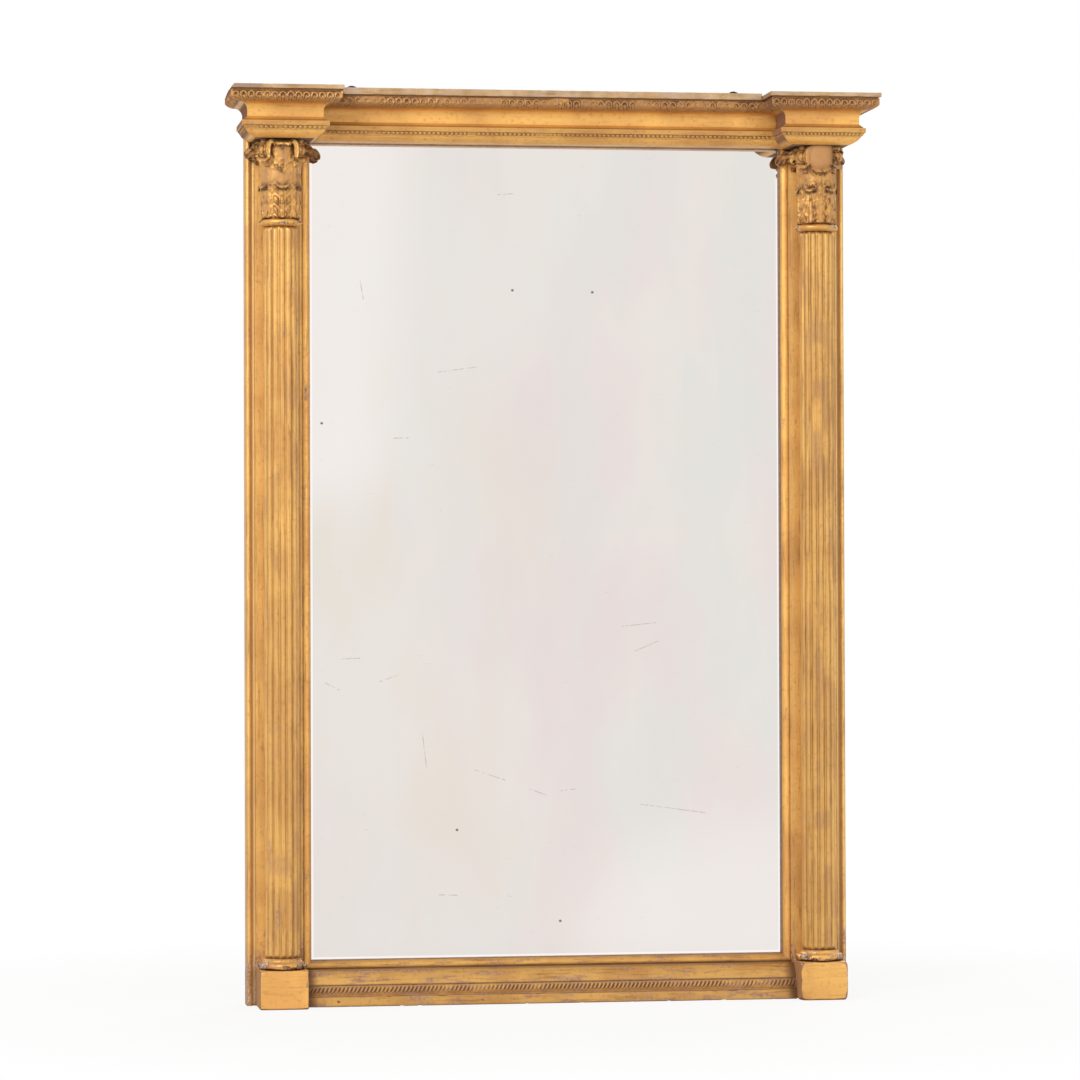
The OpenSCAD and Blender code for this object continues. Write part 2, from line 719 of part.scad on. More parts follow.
// A moulding round a block: the wrap, less the block, the stile's bead and the beam in the middle.
module break_moulding(face, d0 = frame_t, beam = beam_front) {
    color(gilt) difference() {
        wrapped(face, d0);
        slab(block_in, block_out, d0 - past, block_front, soffit_z - past, frame_h);
        slab(block_in - past, outer_x, d0 - past, frame_t + edge_bead_w / 2, soffit_z - past, frame_h);
        slab(0, block_in + past, d0 - past, beam, soffit_z - past, frame_h);
    }
}

// The same moulding along the middle, its ends cut to fit against the two wraps.
module middle_moulding(face) {
    color(gilt) difference() {
        along_x(-block_in, block_in)
            polygon(concat([[beam_front, face[0][1]]], [for (p = face) [beam_front + p[0], p[1]]],
                [[beam_front, face[len(face) - 1][1]]]));
        both_sides() wrapped(face);
    }
}

module cornice_beam() color(pine) difference() {
    slab(-block_in, block_in, frame_t, beam_front, ovolo_top, cap_z);
    frame_screws(fit);
}

module break_block_right() color(pine) difference() {
    slab(block_in, block_out, frame_t, block_front, soffit_z, cap_z);
    slab(outer_x - edge_bead_w - edge_groove_w, block_out + past, frame_t - past, frame_t + edge_bead_w / 2,
        soffit_z - past, frame_h + past);
    frame_screws(fit);
    dowels(fit);
}

module break_block_left() left() break_block_right();

// Under the beam a shallow sloping member comes forward from the sight slip.
module architrave_centre() color(gilt) difference() {
    foot_z = sight_top + 0.5;
    along_x(-block_in, block_in)
        polygon(concat([[slip_front, ovolo_top], [slip_front, foot_z]],
            arc([beam_front, foot_z], [beam_front + ovolo_out, ovolo_top], 1.5)));
    both_sides() wrapped(architrave_face, slip_front);
}

module architrave_right() break_moulding(architrave_face, slip_front, slip_front);

module bead_strip_centre() middle_moulding(bead_strip_face);

module bead_strip_right() break_moulding(bead_strip_face);

module cove_centre() middle_moulding(cove_face);

module cove_right() break_moulding(cove_face);

module leaf_strip_right() break_moulding(leaf_face);

module patch_room(room) {
    slab(-room, patch_w + room, beam_front + leaf_out - patch_depth - room, beam_front + cap_out,
        leaf_bottom - 1 - room, cap_z + room);
}

module leaf_strip_centre() difference() {
    middle_moulding(leaf_face);
    patch_room(fit);
}

// A plain block with a rounded face, let in where a stretch of leaves was lost.
module leaf_strip_patch() color(gilt) intersection() {
    patch_room(0);
    along_x(-past, patch_w + past)
        polygon(concat([[beam_front, leaf_bottom - past]],
            arc([beam_front + leaf_out - 3, leaf_bottom - past], [beam_front + leaf_out - 1, cap_z], 1.5),
            [[beam_front, cap_z]]));
}

// Flat boards that close the top, with the mouldings under their edges.
module cap_right() color(gilt)
    difference() {
        slab(cap_side, block_out + cap_out, frame_t, block_front + cap_out, cap_z, frame_h);
        slab(block_in, outer_x, frame_t - past, frame_t + edge_bead_w / 2, cap_z - past, frame_h + past);
    }

module cap_centre() color(gilt)
    slab(-cap_side, cap_side, frame_t, beam_front + cap_out, cap_z, frame_h + cap_rise);

// ---- bottom moulding, between the plinths ----

module foot_run(outline) {
    color(gilt) difference() {
        along_x(-plinth_side, plinth_side) polygon(outline);
        frame_screws(fit);
    }
}

module foot_fillet() foot_run([[frame_t, 0], [foot_front, 0], [foot_front, foot_h - 1],
    [foot_front - 1, foot_h], [frame_t, foot_h]]);

module foot_bead_strip() foot_run(concat([[frame_t, foot_h]],
    arc([foot_bead_front - 2, foot_h], [foot_bead_front - 2, foot_bead_top], 2, 6),
    [[frame_t, foot_bead_top]]));

module foot_moulding() foot_run(concat([[frame_t, foot_bead_top]],
    arc([ogee_front, foot_bead_top], [ogee_back, rail_bottom - 1], 2),
    [[frame_t, rail_bottom - 1]]));

// ---- hanging plates ----

module both_plates() {
    for (s = [-1, 1]) translate([s * plate_x, 0, 0]) children();
}

module plate_screws_at(room = 0) {
    low = plate_top - plate_l + plate_screw_low;
    for (z = [low, low + plate_screw_gap])
        countersunk_screw(0, z, plate_screw_d, plate_screw_l, room);
}

module hanging_plate() color(iron) difference() {
    r = plate_w / 2;
    union() {
        slab(-r, r, 0, plate_t, plate_top - plate_l, plate_top - r);
        rod(0, plate_top - r, 0, plate_t, plate_w);
    }
    rod(0, plate_top - plate_hole_drop, -past, plate_t + past, plate_hole_d);
    plate_screws_at(fit);
}

module plate_screws() color(iron) both_plates() plate_screws_at();

// ---- the pieces ----

stile_left();
stile_right();
top_rail();
bottom_rail();
corner_pegs();
slip_left();
slip_right();
slip_top();
slip_bottom();
mirror_glass();
silvering();
glass_wedges();
backboard(0);  // backboard_1
backboard(1);  // backboard_2
backboard(2);  // backboard_3
backboard(3);  // backboard_4
backboard_nails();
plinth_left();
plinth_right();
column_base_left();
column_base_right();
shaft_left();
shaft_right();
astragal_left();
astragal_right();
capital_left();
capital_right();
column_dowels();
cornice_beam();
break_block_left();
break_block_right();
architrave_centre();
left() architrave_right();  // architrave_left
architrave_right();
bead_strip_centre();
left() bead_strip_right();  // bead_strip_left
bead_strip_right();
cove_centre();
left() cove_right();  // cove_left
cove_right();
leaf_strip_centre();
left() leaf_strip_right();  // leaf_strip_left
leaf_strip_right();
leaf_strip_patch();
cap_centre();
left() cap_right();  // cap_left
cap_right();
foot_moulding();
foot_bead_strip();
foot_fillet();
color(iron) frame_screws();  // carcass_screws
translate([-plate_x, 0, 0]) hanging_plate();  // hanging_plate_left
translate([plate_x, 0, 0]) hanging_plate();  // hanging_plate_right
plate_screws();
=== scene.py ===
"""Looks of a tall giltwood pier mirror: worn gilding, carved ornament and an old plate of glass.

Shapes are worked out in millimetres with depth d counted forward from the wall (y = -d),
and are turned into metres when a mesh is made.
"""
import json
import math

import bpy
import numpy as np
from mathutils import Matrix, Vector


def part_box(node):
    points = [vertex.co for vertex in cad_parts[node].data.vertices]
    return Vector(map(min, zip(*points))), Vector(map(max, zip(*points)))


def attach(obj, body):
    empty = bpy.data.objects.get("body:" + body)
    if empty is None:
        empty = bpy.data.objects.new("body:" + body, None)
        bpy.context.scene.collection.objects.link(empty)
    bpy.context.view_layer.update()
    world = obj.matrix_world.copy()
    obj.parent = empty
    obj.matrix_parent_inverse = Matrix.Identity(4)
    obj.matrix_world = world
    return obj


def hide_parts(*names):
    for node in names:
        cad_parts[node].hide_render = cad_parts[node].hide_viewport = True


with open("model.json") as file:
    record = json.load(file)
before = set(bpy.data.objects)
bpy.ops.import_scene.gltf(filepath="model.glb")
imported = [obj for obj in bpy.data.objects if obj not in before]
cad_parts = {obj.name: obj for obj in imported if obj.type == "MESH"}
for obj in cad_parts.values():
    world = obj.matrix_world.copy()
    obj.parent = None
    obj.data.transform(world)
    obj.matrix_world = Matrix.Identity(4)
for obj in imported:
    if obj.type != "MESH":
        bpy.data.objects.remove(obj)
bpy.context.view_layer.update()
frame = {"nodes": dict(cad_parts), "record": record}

MM = 0.001


def box_mm(node):
    """(lowest corner, highest corner) of a CAD node in millimetres."""
    lo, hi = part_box(node)
    return lo / MM, hi / MM


# ---- sizes taken from the frame ----

BLOCK_LO, BLOCK_HI = box_mm("break_block_right")
BLOCK_IN, BLOCK_OUT, BLOCK_FRONT = BLOCK_LO.x, BLOCK_HI.x, -BLOCK_LO.y
SOFFIT_Z = BLOCK_LO.z
BEAM_FRONT = -box_mm("cornice_beam")[0].y
LEAF_LO, LEAF_HI = box_mm("leaf_strip_right")
WRAP_BACK = -LEAF_HI.y
BEAD_LO, BEAD_HI = box_mm("bead_strip_right")
COVE_FOOT = box_mm("cove_right")[0].z
CAP_LO, CAP_HI = box_mm("cap_right")
STILE_OUT = box_mm("stile_right")[1].x
PLINTH_LO, PLINTH_HI = box_mm("plinth_right")
BASE_LO, BASE_HI = box_mm("column_base_right")
SHAFT_LO, SHAFT_HI = box_mm("shaft_right")
RING_LO, RING_HI = box_mm("astragal_right")
FILLET_LO, FILLET_HI = box_mm("foot_fillet")
STROKE_LO, STROKE_HI = box_mm("foot_bead_strip")
OGEE_LO, OGEE_HI = box_mm("foot_moulding")
COLUMN_X = (SHAFT_LO.x + SHAFT_HI.x) / 2
COLUMN_D = -(SHAFT_LO.y + SHAFT_HI.y) / 2
STILE_FACE = -PLINTH_HI.y
GLASS_Y = box_mm("mirror_glass")[0].y
SLIP_LO = box_mm("slip_right")[0]
SIGHT_X, SLIP_FRONT = SLIP_LO.x, -SLIP_LO.y
SIGHT_LOW, SIGHT_HIGH = box_mm("slip_bottom")[1].z, box_mm("slip_top")[0].z
SIDES = ((-1, "left"), (1, "right"))
SLOTS = {part["node"]: part["material_slot"] for part in frame["record"]["subparts"]}

# ---- camera, as in the photograph ----

CAMERA_AT = (-0.928, -6.021, 0.5865)
CAMERA_YAW, CAMERA_PITCH, CAMERA_ROLL = 8.692, 0.723, -0.185     # degrees
FOCAL_PX = 4205
IMAGE_PX = 1080
SENSOR_MM = 36


def make_camera():
    yaw, pitch, roll = (math.radians(a) for a in (CAMERA_YAW, CAMERA_PITCH, CAMERA_ROLL))
    ahead = Vector((math.sin(yaw) * math.cos(pitch), math.cos(yaw) * math.cos(pitch), math.sin(pitch)))
    level = Vector((math.cos(yaw), -math.sin(yaw), 0))
    over = level.cross(ahead)
    right = level * math.cos(roll) + over * math.sin(roll)
    up = over * math.cos(roll) - level * math.sin(roll)
    data = bpy.data.cameras.new("camera")
    data.sensor_width = SENSOR_MM
    data.lens = SENSOR_MM * FOCAL_PX / IMAGE_PX
    camera = bpy.data.objects.new("camera", data)
    camera.matrix_world = Matrix.Translation(CAMERA_AT) @ Matrix((right, up, -ahead)).transposed().to_4x4()
    bpy.context.scene.collection.objects.link(camera)
    bpy.context.scene.camera = camera


# ---- materials ----

class Paint:
    """A material's node tree, built by short calls, and its look so far. Lengths in it are in metres."""

    def __init__(self, name):
        self.material = bpy.data.materials.new(name)
        self.material.use_nodes = True
        self.tree = self.material.node_tree
        self.shader = self.tree.nodes["Principled BSDF"]
        self.place = self.add("TexCoord").outputs["Object"]
        self.x, self.y, self.z = self.split(self.place)
        self.metal, self.rough, self.gloss = 0.0, 0.5, 0.5

    def add(self, kind, **settings):
        node = self.tree.nodes.new("ShaderNode" + kind)
        for key, value in settings.items():
            setattr(node, key, value)
        return node

    def feed(self, socket, value):
        """Links an output to a socket, or sets the socket to a number or colour."""
        if isinstance(value, bpy.types.NodeSocket):
            self.tree.links.new(value, socket)
        elif isinstance(value, tuple) and len(value) == 3 and len(socket.default_value) == 4:
            socket.default_value = (*value, 1)
        else:
            socket.default_value = value

    def noise(self, size, detail=4.0, rough=0.5, stretch=(1, 1, 1), seed=0.0):
        """Noise from 0 to 1 in blotches about size across, longer along each axis by stretch."""
        move = self.add("Mapping")
        self.feed(move.inputs["Vector"], self.place)
        self.feed(move.inputs["Location"], (seed * 1.7, seed * 2.3, seed))
        self.feed(move.inputs["Scale"], tuple(1 / s for s in stretch))
        tex = self.add("TexNoise")
        self.feed(tex.inputs["Vector"], move.outputs[0])
        self.feed(tex.inputs["Scale"], 1 / size)
        self.feed(tex.inputs["Detail"], detail)
        self.feed(tex.inputs["Roughness"], rough)
        return tex.outputs["Fac"]

    def ramp(self, value, low, high, out_low=0.0, out_high=1.0):
        node = self.add("MapRange", interpolation_type="SMOOTHSTEP")
        for name, v in (("Value", value), ("From Min", low), ("From Max", high),
                        ("To Min", out_low), ("To Max", out_high)):
            self.feed(node.inputs[name], v)
        return node.outputs[0]

    def math(self, operation, a, b=0.0):
        node = self.add("Math", operation=operation)
        self.feed(node.inputs[0], a)
        self.feed(node.inputs[1], b)
        return node.outputs[0]

    def times(self, a, b):
        return self.math("MULTIPLY", a, b)

    def minus(self, a, b):
        return self.math("SUBTRACT", a, b)

    def larger(self, a, b):
        return self.math("MAXIMUM", a, b)

    def size(self, a):
        return self.math("ABSOLUTE", a)

    def sum(self, first, *terms):
        """first plus each (value, share) in terms."""
        for value, share in terms:
            first = self.math("ADD", first, self.times(value, share))
        return first

    def vector(self, operation, a, b=(0.0, 0.0, 0.0), scale=None):
        node = self.add("VectorMath", operation=operation)
        self.feed(node.inputs[0], a)
        if scale is None:
            self.feed(node.inputs[1], b)
        else:
            self.feed(node.inputs["Scale"], scale)
        return node.outputs["Value" if operation in ("DOT_PRODUCT", "LENGTH") else "Vector"]

    def mix(self, share, a, b):
        node = self.add("Mix", data_type="RGBA")
        self.feed(node.inputs[0], share)
        self.feed(node.inputs[6], a)
        self.feed(node.inputs[7], b)
        return node.outputs[2]

    def tint(self, share, color):
        """Lays a colour over the look so far."""
        self.color = self.mix(share, self.color, color)

    def coat(self, share, color, rougher):
        """Lays a matt coat over the look so far."""
        self.tint(share, color)
        self.metal = self.times(self.metal, self.minus(1.0, share))
        self.rough = self.sum(self.rough, (share, rougher))

    def hollow(self, reach, inside=False):
        """0 on open surfaces and rising to 1 in hollows, or on outer edges where inside is set."""
        node = self.add("AmbientOcclusion", samples=8, inside=inside, only_local=inside)
        self.feed(node.inputs["Distance"], reach)
        return self.minus(1.0, node.outputs["AO"])

    def marks(self, channel):
        """One channel of the marks that a piece's own mesh carries: 0 for ridges, which take a painted
        highlight,
        1 for chips and 2 for soiling, laid on with painted shade.
        """
        split = self.add("SeparateColor")
        self.feed(split.inputs[0], self.add("Attribute", attribute_name="wear").outputs["Color"])
        return split.outputs[channel]

    def bare(self):
        """The share of a piece's leaf that is gone, as its own mesh carries it."""
        return self.add("Attribute", attribute_name="bare").outputs["Fac"]

    def split(self, value):
        node = self.add("SeparateXYZ")
        self.feed(node.inputs[0], value)
        return tuple(node.outputs)

    def facing(self, axis):
        return self.split(self.add("NewGeometry").outputs["Normal"])[axis]

    def near_line(self, a, b, width):
        """1 on the line from a to b, falling to 0 at width to each side."""
        a, b = Vector(a), Vector(b)
        way = (b - a).normalized()
        offset = self.vector("SUBTRACT", self.place, tuple(a))
        along = self.larger(self.vector("DOT_PRODUCT", offset, tuple(way)), 0.0)
        along = self.math("MINIMUM", along, (b - a).length)
        aside = self.vector("SUBTRACT", offset, self.vector("SCALE", tuple(way), scale=along))
        return self.ramp(self.vector("LENGTH", aside), 0.25 * width, width, 1.0, 0.0)

    def bump(self, height, depth, strength):
        node = self.add("Bump")
        for name, value in (("Strength", strength), ("Distance", depth), ("Height", height)):
            self.feed(node.inputs[name], value)
        return node.outputs[0]

    def finish(self, normal):
        """The material, with the look so far fed to its shader."""
        for name, value in (("Base Color", self.color), ("Metallic", self.metal), ("Normal", normal),
                            ("Roughness", self.rough), ("Specular IOR Level", self.gloss)):
            self.feed(self.shader.inputs[name], value)
        return self.material


# colour of the painted highlight on carved ridges
RIDGE_HIGHLIGHT = (1.0, 0.62, 0.22)
GOLD_BRIGHT = (0.90, 0.50, 0.135)
GOLD_MID = (0.72, 0.365, 0.10)
GOLD_DEEP = (0.47, 0.20, 0.045)
GOLD_BROWN = (0.27, 0.115, 0.032)
CAP_RED = (0.20, 0.055, 0.028)
GROUND_RED = (0.36, 0.125, 0.045)
BOLE = (0.33, 0.12, 0.055)
GESSO = (0.56, 0.36, 0.25)
GESSO_PALE = (0.74, 0.60, 0.48)
GESSO_GREY = (0.27, 0.19, 0.16)
# brown of soiling and painted shade in hollows and corners
DIRT_AND_SHADE = (0.125, 0.050, 0.017)
SIDE_BROWN = (0.29, 0.145, 0.085)
BARE_BROWN = (0.58, 0.30, 0.115)
# cream of the painted highlight beside the stile's bead
GROOVE_HIGHLIGHT = (0.90, 0.66, 0.33)
BARE_WOOD = (0.34, 0.20, 0.105)
WOOD_LIGHT = (0.37, 0.22, 0.11)
WOOD_DARK = (0.16, 0.085, 0.04)
# soiling in patches, and painted shade in hollows
WOOD_GRIME_AND_SHADE = (0.05, 0.032, 0.02)
IRON = (0.035, 0.032, 0.03)
RUST = (0.16, 0.062, 0.026)
GRAIN = {"x": (14, 1, 1), "z": (1, 1, 14), "": (1.6, 1.6, 1.6)}
BARE_LIFT = 0.1             # how much lighter the bare patches are than the leaf about them
FOOT_WEAR = 0.14            # metres up from the floor over which the foot's wear fades
GROOVE_AT = STILE_OUT - 9.0             # the groove beside the stile's bead
GROOVE_HALF = (0.0012, 0.0032)          # metres to each side over which its painted highlight fades
END_DARK = (0.003, 0.019)               # metres from a plinth over which the darkening beside it fades


def shade(color, tone):
    """A colour times one number, or times a number for each of its channels."""
    return tuple(float(c) for c in np.multiply(color, tone))


def lay_gold(p, run, tone, streaks):
    """Mottled gold with darker streaks along run. Gives back the mottling and the streaks."""
    bright, mid, deep, brown = (shade(c, tone) for c in (GOLD_BRIGHT, GOLD_MID, GOLD_DEEP, GOLD_BROWN))
    p.color = p.mix(p.ramp(p.noise(0.045, 3, stretch=GRAIN[""], seed=1), 0.35, 0.68), bright, mid)
    mottle = p.noise(0.006, 5, 0.6, seed=2)
    p.rough = p.ramp(mottle, 0.3, 0.7, 0.34, 0.5)
    p.tint(p.ramp(mottle, 0.52, 0.75, 0, 0.5), deep)
    lines = p.ramp(p.noise(0.0035, 5, 0.62, stretch=GRAIN[run], seed=8), 0.50, 0.74, 0, streaks)
    p.tint(lines, brown)
    return mottle, lines


def wear_gold(p, run, tone, rub, gesso, foot, glint, ridge):
    """Leaf rubbed down to its ground and chipped to the gesso. Gives back the share that is chipped."""
    edges = p.hollow(0.0016, inside=True)
    stretch = tuple(1 + (s - 1) / 4 for s in GRAIN[run])
    worn = p.sum(p.noise(0.011, 6, 0.62, stretch=stretch, seed=3), (edges, 0.25))
    if foot:
        worn = p.sum(worn, (p.ramp(p.z, 0.0, FOOT_WEAR, 1.0, 0.0), 0.3 * foot))
    worn = p.ramp(worn, 0.80 - 0.35 * rub, 0.95 - 0.35 * rub)
    under = p.mix(p.ramp(p.noise(0.004, 3, seed=4), 0.4, 0.6), BOLE, shade(GESSO, tone))
    p.tint(p.times(worn, 0.75), under)
    # marked ridges take a painted highlight, and the caps take their red worn end instead
    p.tint(p.times(p.marks(0), glint), ridge or shade(RIDGE_HIGHLIGHT, tone))
    chips = p.sum(p.noise(0.005, 5, 0.6, seed=5), (p.marks(1), 0.6), (edges, 0.22))
    chips = p.ramp(chips, 0.86 - 0.25 * gesso, 0.92 - 0.25 * gesso)
    pale = p.mix(p.ramp(p.noise(0.003, 3, seed=6), 0.4, 0.6), GESSO_PALE, GESSO)
    p.tint(chips, p.mix(p.ramp(p.noise(0.010, 3, seed=9), 0.42, 0.56, 0, 0.85), pale, GESSO_GREY))
    p.metal = p.times(p.minus(1.0, p.larger(chips, worn)), 0.5)
    return chips


def brown_sides(p, share):
    """Brown and dull on the faces to the left and right."""
    facing = p.ramp(p.size(p.facing(0)), 0.4, 0.75, 0, share)
    p.coat(facing, SIDE_BROWN, 0.35)
    p.gloss = p.minus(0.5, p.times(facing, 0.45))


def stile_marks(p, lines):
    """A painted cream highlight along the groove beside the stile's bead, and bare wood at its back."""
    aside = p.minus(p.size(p.x), GROOVE_AT * MM)
    p.tint(p.ramp(p.size(aside), *GROOVE_HALF, 0.85, 0.0), GROOVE_HIGHLIGHT)
    p.coat(p.ramp(p.facing(1), 0.6, 0.9), p.mix(lines, BARE_WOOD, WOOD_DARK), 0.4)


def shade_line(p, height, wide, dark):
    """Painted shade along one height and so far to each side of it, both in millimetres."""
    return p.ramp(p.size(p.minus(p.z, height * MM)), 0.25 * wide * MM, wide * MM, dark, 0.0)


def darker_by_plinths(p, dark):
    # darker beside the plinths
    return p.ramp(p.minus(PLINTH_LO.x * MM, p.size(p.x)), *END_DARK, dark, 0.0)


def sight_dark_and_shade(p):
    """Dark on the inner walls of the slips, with painted shade on the slips beside them and again at their
    outer edge.
    """
    above = p.minus(p.z, SIGHT_HIGH * MM)
    below = p.minus(SIGHT_LOW * MM, p.z)
    into = p.larger(p.minus(p.size(p.x), SIGHT_X * MM), p.larger(above, below))
    inner = p.ramp(p.y, -(SLIP_FRONT - 1) * MM, -(SLIP_FRONT - 4) * MM)
    wall = p.times(p.ramp(into, 0.0002, 0.0008, 0.97, 0.0), inner)
    return [wall, p.ramp(into, 0.001, 0.0075, 0.26, 0.0), p.ramp(into, 0.0095, 0.0115, 0.0, 0.45)]


def gilding(name, run="", tone=1.0, rub=0.3, gesso=0.2, dirt_and_shade=0.85, streaks=0.5, dust=0.0, reach=0.006,
            sides=0.0, foot=0.0, glint=0.6, warm=0.0, sight_wall=False, stile=False, shade_lines_at=(),
            ends=0.0, ridge=None):
    """Gold leaf over bole and gesso, worn in streaks along run. rub is how far the leaf has gone, gesso how
    many pale chips show, dust how pale the top coat is and reach how wide the soiling and painted shade in
    corners are. sides is how brown the faces to the left and right are, foot how much more is worn near the
    floor, glint how much marked ridges take the colour ridge, which is a painted highlight unless another
    colour is given, as for the caps' red worn end. warm is how much red ground shows through.
    shade_lines_at has heights of painted shade, each with its width and darkness, and ends is how much
    darker it is beside the plinths. sight_wall and stile add what only slips and stiles have."""
    p = Paint(name)
    mottle, lines = lay_gold(p, run, tone, streaks)
    chips = wear_gold(p, run, tone, rub, gesso, foot, glint, ridge)
    p.coat(p.bare(), shade(BARE_BROWN, min(1.0, float(np.mean(tone)) + BARE_LIFT)), 0.3)
    if dust:
        p.tint(p.ramp(p.noise(0.02, 4, seed=7), 0.3, 0.7, 0.3 * dust, dust), GESSO_PALE)
    if warm:
        p.tint(warm, GROUND_RED)
    if sides:
        brown_sides(p, sides)
    if stile:
        stile_marks(p, lines)
    # soiling and painted shade in hollows and corners, from occlusion and the piece's own marks
    soot_and_shade = p.times(p.ramp(p.sum(p.hollow(reach), (p.marks(2), 0.75)), 0.14, 0.70), dirt_and_shade)
    extra = [shade_line(p, *line) for line in shade_lines_at]
    if ends:
        extra.append(darker_by_plinths(p, ends))
    if sight_wall:
        extra += sight_dark_and_shade(p)
    for more in extra:
        soot_and_shade = p.larger(soot_and_shade, more)
    p.tint(soot_and_shade, DIRT_AND_SHADE)
    height = p.sum(p.times(mottle, 0.6), (chips, -0.5), (lines, -0.4))
    return p.finish(p.bump(height, 0.0005, 0.5))


def old_wood(name, light, along):
    """Aged bare pine with long grain along one axis."""
    p = Paint(name)
    grain = p.noise(0.006, 6, 0.6, stretch=GRAIN[along], seed=11)
    figure = p.noise(0.035, 2, 0.4, stretch=GRAIN[along], seed=12)
    p.color = p.mix(p.ramp(grain, 0.35, 0.7), shade(WOOD_LIGHT, light), WOOD_DARK)
    p.tint(p.ramp(figure, 0.45, 0.6, 0, 0.45), WOOD_DARK)
    # darker in large patches, and in hollows as painted shade
    grime_and_shade = p.math("ADD", p.hollow(0.012), p.noise(0.12, 3, seed=13))
    p.tint(p.ramp(grime_and_shade, 0.55, 1.3, 0, 0.8), WOOD_GRIME_AND_SHADE)
    p.rough = p.ramp(grain, 0.3, 0.7, 0.65, 0.9)
    return p.finish(p.bump(grain, 0.0006, 0.6))


def dark_iron(name):
    p = Paint(name)
    rust = p.ramp(p.noise(0.004, 6, 0.6, seed=21), 0.45, 0.65)
    p.color = p.mix(rust, IRON, RUST)
    p.metal = p.ramp(rust, 0, 1, 0.8, 0.1)
    p.rough = p.ramp(rust, 0, 1, 0.45, 0.85)
    return p.finish(p.bump(p.noise(0.0015, 5, seed=22), 0.0003, 0.6))


GLASS_TINT = (0.82, 0.775, 0.735)
GLASS_ROSE = (0.80, 0.70, 0.69)
GLASS_GREEN = (0.76, 0.755, 0.72)
GLASS_TAN = (0.80, 0.735, 0.645)
GLASS_SCRATCH = (0.40, 0.30, 0.22)
GLASS_PALE = (0.90, 0.86, 0.83)
GLASS_SPOT = (0.05, 0.04, 0.03)
# colour of the painted highlight along the plate's edge
GLASS_EDGE_HIGHLIGHT = (1.0, 0.93, 0.90)
GLASS_ROUGH = 0.035
TALL = (1, 1, 2.4)          # how clouds of tint stretch
EDGE_LIGHT = (3.2, 4.4)     # how far in the painted highlight beside the slips reaches, mm
# Marks on the plate, placed as in the photograph: x and height in millimetres.
ROSY_LINE = ((-30, 280), (60, 780))
PALE_PLACES = (((-310, 1190), (-330, 820), 0.16, 0.75), ((330, 120), (190, 90), 0.22, 0.6))
FOX_SPOTS = ((-49, 1024), (-326, 831), (-132, 246), (18, 113), (68, 1022))
SCRATCHES = (((-158, 905), (-100, 913)), ((-70, 1162), (-45, 1164)), ((-222, 810), (-197, 810)),
             ((-322, 459), (-301, 448)), ((-243, 460), (-218, 469)), ((-298, 493), (-272, 494)),
             ((-182, 387), (-176, 336)), ((-106, 332), (-62, 317)), ((-27, 304), (-2, 295)),
             ((20, 301), (40, 303)), ((137, 280), (231, 267)), ((129, 502), (162, 516)),
             ((110, 538), (159, 543)), ((-158, 153), (-132, 152)), ((-270, 1037), (-265, 1006)))
SCRATCH_WIDE, SPOT_WIDE = 0.0011, 0.0026        # metres to each side


def plate_mark(p, a, b, width, share, color):
    """Tints the plate along the line from a to b."""
    a, b = ((x * MM, GLASS_Y * MM, z * MM) for x, z in (a, b))
    p.tint(p.times(p.near_line(a, b, width), share), color)


def old_mirror(name):
    """An old silvered plate: tall clouds of tint, scratches, a few spots and a painted highlight at its
    edge.
    """
    p = Paint(name)
    p.metal, p.rough = 1.0, GLASS_ROUGH
    rose = p.ramp(p.noise(0.15, 3, 0.55, TALL, seed=31), 0.42, 0.66, 0, 0.55)
    p.color = p.mix(rose, GLASS_TINT, GLASS_ROSE)
    rosy = p.ramp(p.noise(0.1, 3, 0.5, TALL, seed=37), 0.3, 0.6, 0.1, 0.6)
    plate_mark(p, *ROSY_LINE, 0.26, rosy, GLASS_ROSE)
    green = p.ramp(p.noise(0.13, 4, 0.55, TALL, seed=32), 0.40, 0.62, 0, 0.8)
    p.tint(p.times(green, p.ramp(p.x, -0.1, 0.25, 0.4, 1.0)), GLASS_GREEN)
    tan = p.ramp(p.noise(0.17, 3, 0.5, TALL, seed=36), 0.48, 0.68, 0, 0.7)
    p.tint(p.times(tan, p.ramp(p.x, -0.25, 0.15, 1.0, 0.15)), GLASS_TAN)
    for place in PALE_PLACES:
        plate_mark(p, *place, GLASS_PALE)
    p.tint(p.ramp(p.noise(0.004, 4, 0.6, (4, 1, 1), seed=33), 0.66, 0.78, 0, 0.16), GLASS_SCRATCH)
    broken = p.ramp(p.noise(0.006, 3, 0.6, seed=34), 0.35, 0.6, 0, 0.5)
    for a, b in SCRATCHES:
        plate_mark(p, a, b, SCRATCH_WIDE, broken, GLASS_SCRATCH)
    for x, z in FOX_SPOTS:
        plate_mark(p, (x - 0.3, z), (x + 0.3, z), SPOT_WIDE, 0.85, GLASS_SPOT)
    # painted highlight along the edge beside the slips and the bottom rail
    inset = p.math("MINIMUM", p.minus(SIGHT_X * MM, p.size(p.x)), p.minus(p.z, SIGHT_LOW * MM))
    p.tint(p.ramp(inset, EDGE_LIGHT[0] * MM, EDGE_LIGHT[1] * MM, 0.95, 0.0), GLASS_EDGE_HIGHLIGHT)
    return p.finish(p.bump(p.noise(0.30, 1, seed=35), 0.0004, 0.15))


# ---- room, floor and lamps ----

SKY_LEVEL = 0.55
SKY_COLOR = (1, 0.985, 0.96, 1)
FLOOR_COLOR = (0.86, 0.85, 0.83)
FLOOR_HALF = 15.0           # metres
FLOOR_SHADOW = 0.14         # how much of the lit floor, with its shadow, shows beside the object
FLOOR_FADE = (0.5, 1.3)     # metres from the object over which that share falls to nothing
